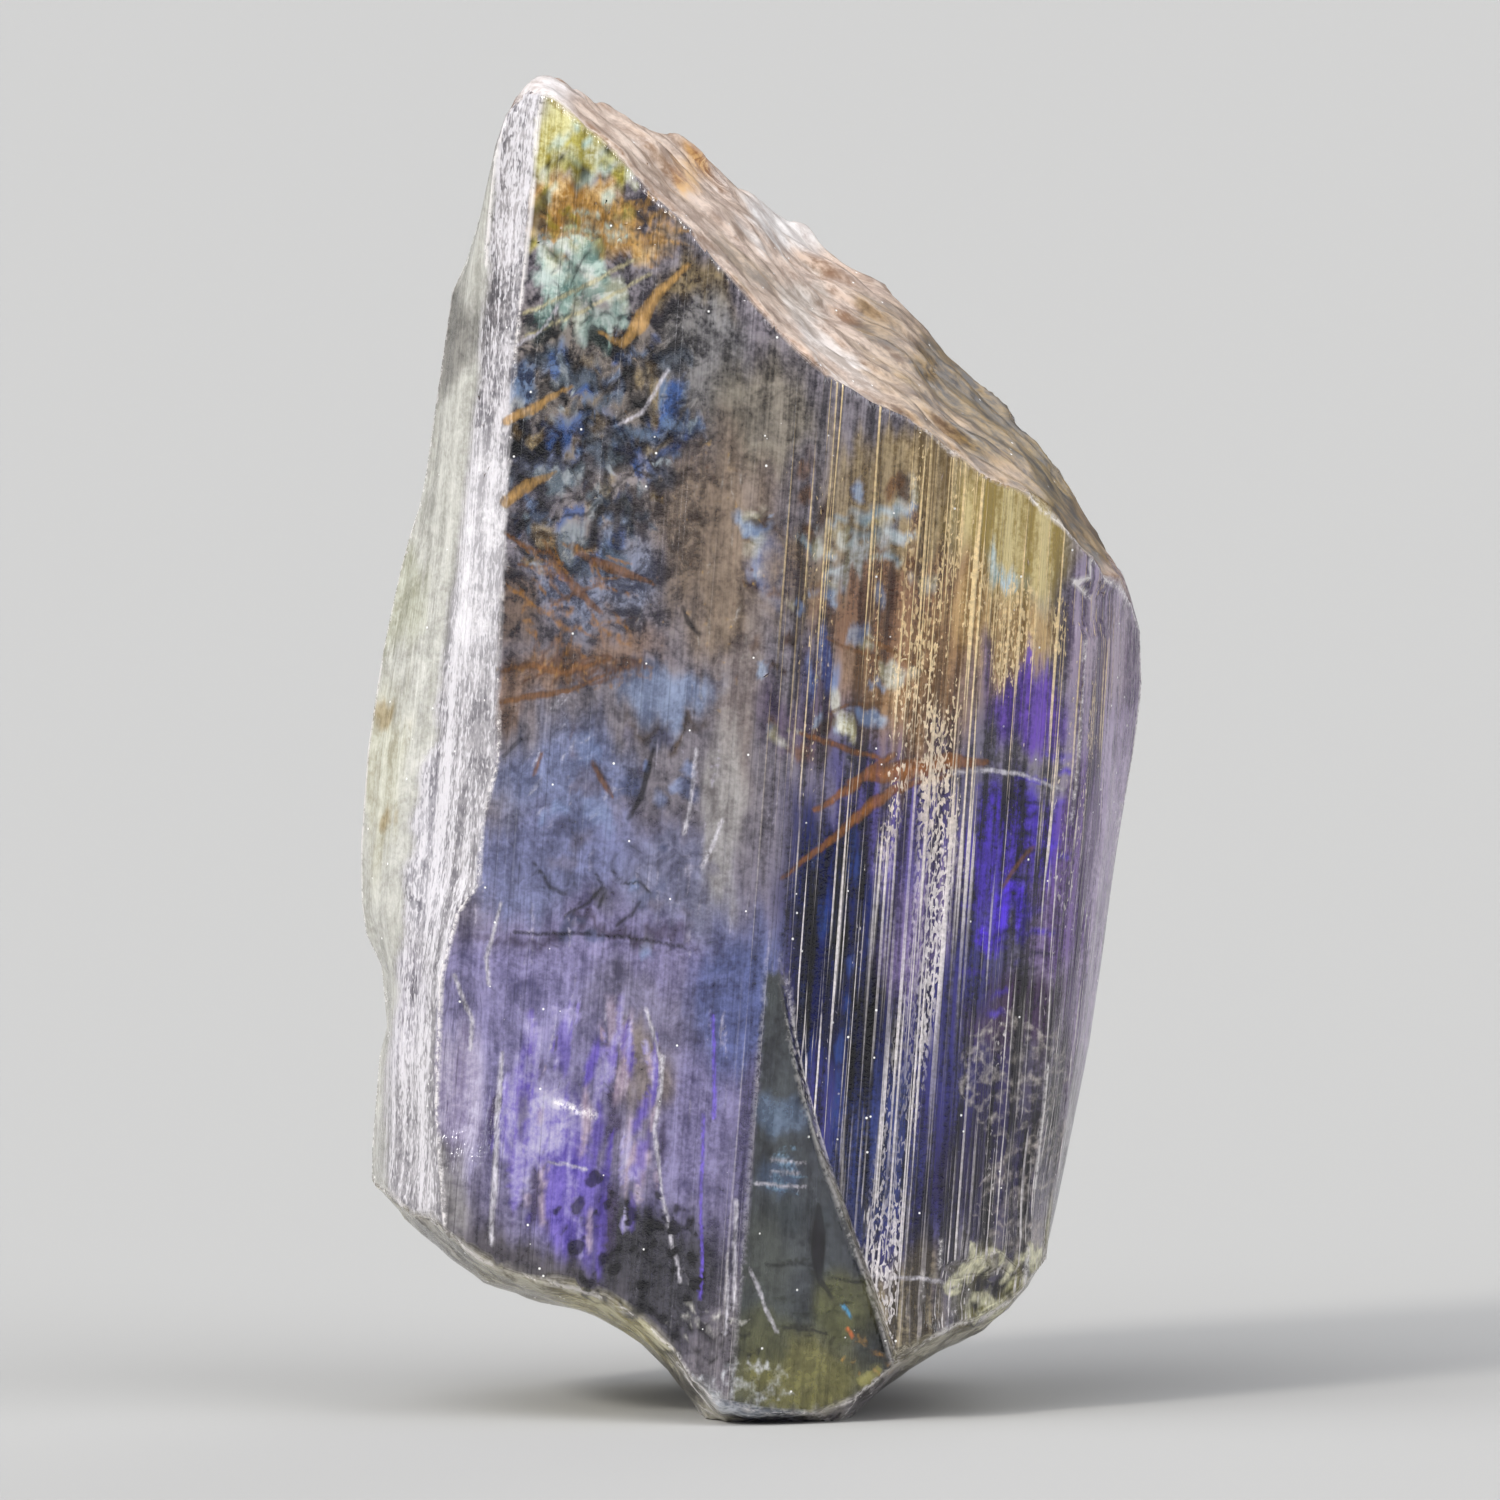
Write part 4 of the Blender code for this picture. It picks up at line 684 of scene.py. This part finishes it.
def tanzaniteSkin():
    # zoisite, grown and cleaved: clear where it broke along a plane, striated and dusty along the prism
    material, tree, shader = newMaterial("tanzanite grown and cleaved")
    softStep = {"interpolation_type": "SMOOTHSTEP"}
    times, plus, most = {"operation": "MULTIPLY"}, {"operation": "MULTIPLY_ADD"}, {"operation": "MAXIMUM"}
    numbers, colours = {"data_type": "FLOAT"}, {"data_type": "RGBA"}
    mask = {name: addNode(tree, "Attribute", {"attribute_name": name}, out=2)
            for name in ("clear", "dull", "dust", "blotchy", "pitted", "striae", "even", "edge", "frost", "vein", "calm",
                         "broken")}
    light, dark, veinColour = [addNode(tree, "Attribute", {"attribute_name": name})
                               for name in ("light", "dark", "veinColour")]
    # places in mm, and the same drawn out along the leaning prism or down the slope of the end
    place = addNode(tree, "TexCoord", out=3)
    inMm = addNode(tree, "VectorMath", {"operation": "SCALE"}, {0: place, "Scale": 1000.0})
    upright = addNode(tree, "Mapping", {}, {"Vector": inMm, "Rotation": (0.0, -math.radians(leanDegrees), 0.0)})
    streaky = addNode(tree, "Mapping", {}, {"Vector": upright, "Scale": (1.0, 1.0, 0.06)})
    ruled = addNode(tree, "Mapping", {}, {"Vector": upright, "Scale": (1.0, 1.0, 0.008)})
    wormy = addNode(tree, "Mapping", {}, {"Vector": upright, "Scale": (1.0, 1.0, 0.35)})
    sloping = addNode(tree, "Mapping", {}, {"Vector": inMm, "Rotation": (0.0, -math.radians(42.0), 0.0)})
    sloping = addNode(tree, "Mapping", {}, {"Vector": sloping, "Scale": (0.75, 0.9, 1.0)})
    clouded = addNode(tree, "Mix", {"data_type": "VECTOR"}, {0: mask["pitted"], 4: inMm, 5: sloping}, 1)
    # clouds 0.5 mm across, streaks 0.3 mm wide, specks 0.1 mm across, striae 0.1 mm wide
    clouds = addNode(tree, "TexNoise", {}, {"Vector": clouded, "Scale": 1.9, "Detail": 3.0, "Roughness": 0.7,
                                            "Distortion": 0.5})
    streaks = addNode(tree, "TexNoise", {}, {"Vector": streaky, "Scale": 3.2, "Detail": 3.0, "Roughness": 0.7})
    specks = addNode(tree, "TexNoise", {}, {"Vector": inMm, "Scale": 10.0, "Detail": 2.0, "Roughness": 0.7})
    fine = addNode(tree, "TexNoise", {}, {"Vector": ruled, "Scale": 17.0, "Detail": 1.0, "Roughness": 0.5})
    worms = addNode(tree, "TexNoise", {}, {"Vector": wormy, "Scale": 19.0, "Detail": 1.0, "Distortion": 0.6})
    # the colour: between the dark and the light of the place
    pattern = addNode(tree, "Mix", numbers, {0: mask["blotchy"], 2: streaks, 3: clouds})
    pattern = addNode(tree, "Mix", numbers, {0: mask["pitted"], 2: pattern, 3: clouds})
    pattern = addNode(tree, "Math", plus, {0: specks, 1: 0.28, 2: pattern})
    lowest = addNode(tree, "MapRange", {}, {"Value": mask["calm"], "To Min": 0.53, "To Max": 0.44})
    highest = addNode(tree, "MapRange", {}, {"Value": mask["calm"], "To Min": 0.77, "To Max": 0.86})
    pattern = addNode(tree, "MapRange", softStep, {"Value": pattern, "From Min": lowest, "From Max": highest})
    colour = addNode(tree, "Mix", colours, {0: pattern, 6: dark, 7: light}, 2)
    # frosted strip: a crackle of bright and dull flecks
    fleck = addNode(tree, "Math", {"operation": "ADD"}, {0: worms, 1: streaks})
    fleck = addNode(tree, "MapRange", softStep, {"Value": fleck, "From Min": 0.92, "From Max": 1.12,
                                                 "To Min": 0.0, "To Max": 0.75})
    fleck = addNode(tree, "Math", times, {0: fleck, 1: mask["frost"]})
    colour = addNode(tree, "Mix", colours, {0: fleck, 6: colour, 7: linearColour("#E8E4E8")}, 2)
    # ribbons, cracks and crumbs
    veinOn = addNode(tree, "Math", plus, {0: specks, 1: 0.07, 2: mask["vein"]})
    veinOn = addNode(tree, "MapRange", softStep, {"Value": veinOn, "From Min": 0.01, "From Max": 0.075,
                                                  "To Max": 0.84})
    fibres = addNode(tree, "Mix", numbers, {0: 0.6, 2: worms, 3: clouds})
    veinTone = addNode(tree, "Math", plus, {0: mask["vein"], 1: 1.5, 2: fibres})
    veinTone = addNode(tree, "MapRange", {}, {"Value": veinTone, "From Min": 0.4, "From Max": 0.8,
                                              "To Min": 0.2, "To Max": 1.3})
    veinShade = addNode(tree, "VectorMath", {"operation": "SCALE"}, {0: veinColour, "Scale": veinTone})
    colour = addNode(tree, "Mix", colours, {0: veinOn, 6: colour, 7: veinShade}, 2)
    # silver striae; the finest ones are drawn coarser so that they show
    lines = addNode(tree, "Math", plus, {0: mask["dust"], 1: 0.1, 2: fine})
    lines = addNode(tree, "MapRange", softStep, {"Value": lines, "From Min": 0.605, "From Max": 0.7})
    gaps = addNode(tree, "MapRange", softStep, {"Value": mask["broken"], "From Min": 0.36, "From Max": 0.52,
                                                "To Min": 0.3, "To Max": 0.9})
    lines = addNode(tree, "Math", times, {0: lines, 1: gaps})
    crumbs = addNode(tree, "Math", plus, {0: mask["dust"], 1: 0.3, 2: worms})
    crumbs = addNode(tree, "MapRange", softStep, {"Value": crumbs, "From Min": 0.74, "From Max": 0.84,
                                                  "To Max": 0.8})
    shown = addNode(tree, "MapRange", softStep, {"Value": mask["broken"], "From Min": 0.42, "From Max": 0.58})
    crumbs = addNode(tree, "Math", times, {0: crumbs, 1: shown})
    faint = addNode(tree, "MapRange", softStep, {"Value": fine, "From Min": 0.47, "From Max": 0.66, "To Max": 0.32})
    faint = addNode(tree, "Math", times, {0: faint, 1: mask["dust"]})
    lines = addNode(tree, "Math", most, {0: lines, 1: faint})
    silver = addNode(tree, "Math", most, {0: lines, 1: crumbs})
    silver = addNode(tree, "Math", times, {0: silver, 1: mask["striae"]})
    height = addNode(tree, "SeparateXYZ", {}, {0: inMm}, 2)
    high = addNode(tree, "MapRange", softStep, {"Value": height, "From Min": 9.0, "From Max": 15.0})
    silverTone = addNode(tree, "Mix", colours, {0: high, 6: linearColour("#E4DCDC"), 7: linearColour("#EBCF9C")}, 2)
    glitter = addNode(tree, "MapRange", {}, {"Value": specks, "From Min": 0.3, "From Max": 0.7,
                                             "To Min": 0.65, "To Max": 1.25})
    silverTone = addNode(tree, "VectorMath", {"operation": "SCALE"}, {0: silverTone, "Scale": glitter})
    colour = addNode(tree, "Mix", colours, {0: silver, 6: colour, 7: silverTone}, 2)
    # painted highlight along the sharp edges, broken into pale chips
    chips = addNode(tree, "Math", {"operation": "ADD"}, {0: specks, 1: mask["broken"]})
    chips = addNode(tree, "MapRange", softStep, {"Value": chips, "From Min": 0.85, "From Max": 1.1,
                                                 "To Min": 0.15, "To Max": 0.85})
    chips = addNode(tree, "Math", times, {0: mask["edge"], 1: chips})
    colour = addNode(tree, "Mix", colours, {0: chips, 6: colour, 7: linearColour("#F2ECEA")}, 2)
    # bright dust motes, about 0.04 mm across, on a third of the cells
    motes = addNode(tree, "TexVoronoi", {}, {"Vector": inMm, "Scale": 3.2})
    motesOn = addNode(tree, "MapRange", softStep, {"Value": motes, "From Min": 0.085, "From Max": 0.06})
    chosen = addNode(tree, "MapRange", {}, {"Value": motes.node.outputs["Color"], "From Min": 0.62, "From Max": 0.63})
    motesOn = addNode(tree, "Math", times, {0: motesOn, 1: chosen})
    colour = addNode(tree, "Mix", colours, {0: motesOn, 6: colour, 7: linearColour("#F4F2F0")}, 2)
    tree.links.new(colour, shader.inputs["Base Color"])
    # how dull the skin is, and how far one sees in
    white = addNode(tree, "Math", most, {0: silver, 1: motesOn})
    white = addNode(tree, "Math", most, {0: white, 1: chips})
    dull = addNode(tree, "Math", plus, {0: mask["dull"], 1: 0.8, 2: 0.05})
    dull = addNode(tree, "Mix", numbers, {0: white, 2: dull, 3: 0.4})
    tree.links.new(dull, shader.inputs["Roughness"])
    solid = addNode(tree, "Math", most, {0: white, 1: veinOn})
    seen = addNode(tree, "MapRange", {}, {"Value": solid, "To Min": 1.0, "To Max": 0.25})
    clear = addNode(tree, "Math", times, {0: mask["clear"], 1: seen})
    tree.links.new(clear, shader.inputs["Transmission Weight"])
    # relief too fine for the mesh
    relief = addNode(tree, "Mix", numbers, {0: mask["pitted"], 2: fine, 3: clouds})
    relief = addNode(tree, "Math", plus, {0: specks, 1: 0.3, 2: relief})
    relief = addNode(tree, "Math", plus, {0: silver, 1: 0.2, 2: relief})
    strength = addNode(tree, "MapRange", {}, {"Value": mask["even"], "To Min": 0.7, "To Max": 0.05})
    bump = addNode(tree, "Bump", {}, {"Height": relief, "Strength": strength, "Distance": 0.07 * mm})
    tree.links.new(bump, shader.inputs["Normal"])
    shader.inputs["IOR"].default_value = 1.69
    shader.inputs["Specular IOR Level"].default_value = 0.35
    tint = addNode(tree, "VolumeAbsorption", {}, {"Color": linearColour("#B4A8EA"), "Density": 110.0})
    tree.links.new(tint, tree.nodes["Material Output"].inputs["Volume"])
    return material


stoneMesh, stoneMasks = makeStone()
paintStone(stoneMesh, stoneMasks)
stonePiece = newPiece("stone", stoneMesh, tanzaniteSkin())
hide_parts("crystal")

# Floor, light and camera
studio = {
    "floorSize": 14.0, "floorColour": "#AAA9A7",
    "sunStrength": 1.6, "sunAzimuth": -42, "sunElevation": 36, "sunSize": 10,
    "roomColour": "#F4F6FA", "roomStrength": 0.25,
    "lamps": {                  # azimuth, elevation, reach in degrees, power
        "front left": (-48, 48, 38, 3.6),
        "front right": (55, 46, 30, 2.6),
        "above": (10, 80, 40, 0.6),
        "behind": (152, 34, 22, 1.4),
        "right strip": (82, 12, 15, 4.0),
        "left strip": (-98, 14, 16, 3.0),
    },
}


def awayFrom(azimuth, elevation):
    # the direction of something seen from the crystal; azimuth 0 is towards the camera, 90 to the right
    turn, rise = math.radians(azimuth), math.radians(elevation)
    return Vector((math.sin(turn) * math.cos(rise), -math.cos(turn) * math.cos(rise), math.sin(rise)))


def makeFloor():
    half = studio["floorSize"] / 2
    mesh = bpy.data.meshes.new("floor")
    mesh.from_pydata([(-half, -half, 0), (half, -half, 0), (half, half, 0), (-half, half, 0)], [], [(0, 1, 2, 3)])
    material, tree, shader = newMaterial("paper rolled matt")
    shader.inputs["Base Color"].default_value = linearColour(studio["floorColour"])
    shader.inputs["Roughness"].default_value = 0.95
    mesh.materials.append(material)
    floor = bpy.data.objects.new("floor", mesh)
    bpy.context.scene.collection.objects.link(floor)


def makeSun():
    data = bpy.data.lights.new("key", "SUN")
    data.energy = studio["sunStrength"]
    data.angle = math.radians(studio["sunSize"])
    data.color = linearColour("#FFFCF5")[:3]
    light = bpy.data.objects.new("key", data)
    away = awayFrom(studio["sunAzimuth"], studio["sunElevation"])
    light.rotation_euler = away.to_track_quat("Z", "Y").to_euler()
    bpy.context.scene.collection.objects.link(light)


def makeWorld():
    # a grey room with big soft lamps, each a smooth glow round one direction
    world = bpy.data.worlds.new("studio")
    world.use_nodes = True
    tree = world.node_tree
    look = addNode(tree, "TexCoord")
    strength = studio["roomStrength"]
    for azimuth, elevation, reach, power in studio["lamps"].values():
        facing = addNode(tree, "VectorMath", {"operation": "DOT_PRODUCT"}, {0: look, 1: awayFrom(azimuth, elevation)}, 1)
        glow = addNode(tree, "MapRange", {"interpolation_type": "SMOOTHSTEP"},
                       {"Value": facing, "From Min": math.cos(math.radians(reach)),
                        "From Max": math.cos(math.radians(reach * 0.4)), "To Max": power})
        strength = addNode(tree, "Math", {"operation": "ADD"}, {0: glow, 1: strength})
    background = tree.nodes["Background"]
    background.inputs["Color"].default_value = linearColour(studio["roomColour"])
    tree.links.new(strength, background.inputs["Strength"])
    bpy.context.scene.world = world


def makeCamera():
    # the photograph shows 27.8 mm across its frame
    frameWidth = 27.8 * mm
    distance = 0.3
    data = bpy.data.cameras.new("camera")
    data.sensor_width = 36.0
    data.lens = 36.0 * distance / frameWidth
    camera = bpy.data.objects.new("camera", data)
    back = awayFrom(0.0, 3.0)
    camera.location = Vector((0.0, -0.5 * mm, 12.157 * mm)) + back * distance
    camera.rotation_euler = back.to_track_quat("Z", "Y").to_euler()
    bpy.context.scene.collection.objects.link(camera)
    bpy.context.scene.camera = camera


makeFloor()
makeSun()
makeWorld()
bpy.context.scene.view_settings.view_transform = "Standard"
makeCamera()
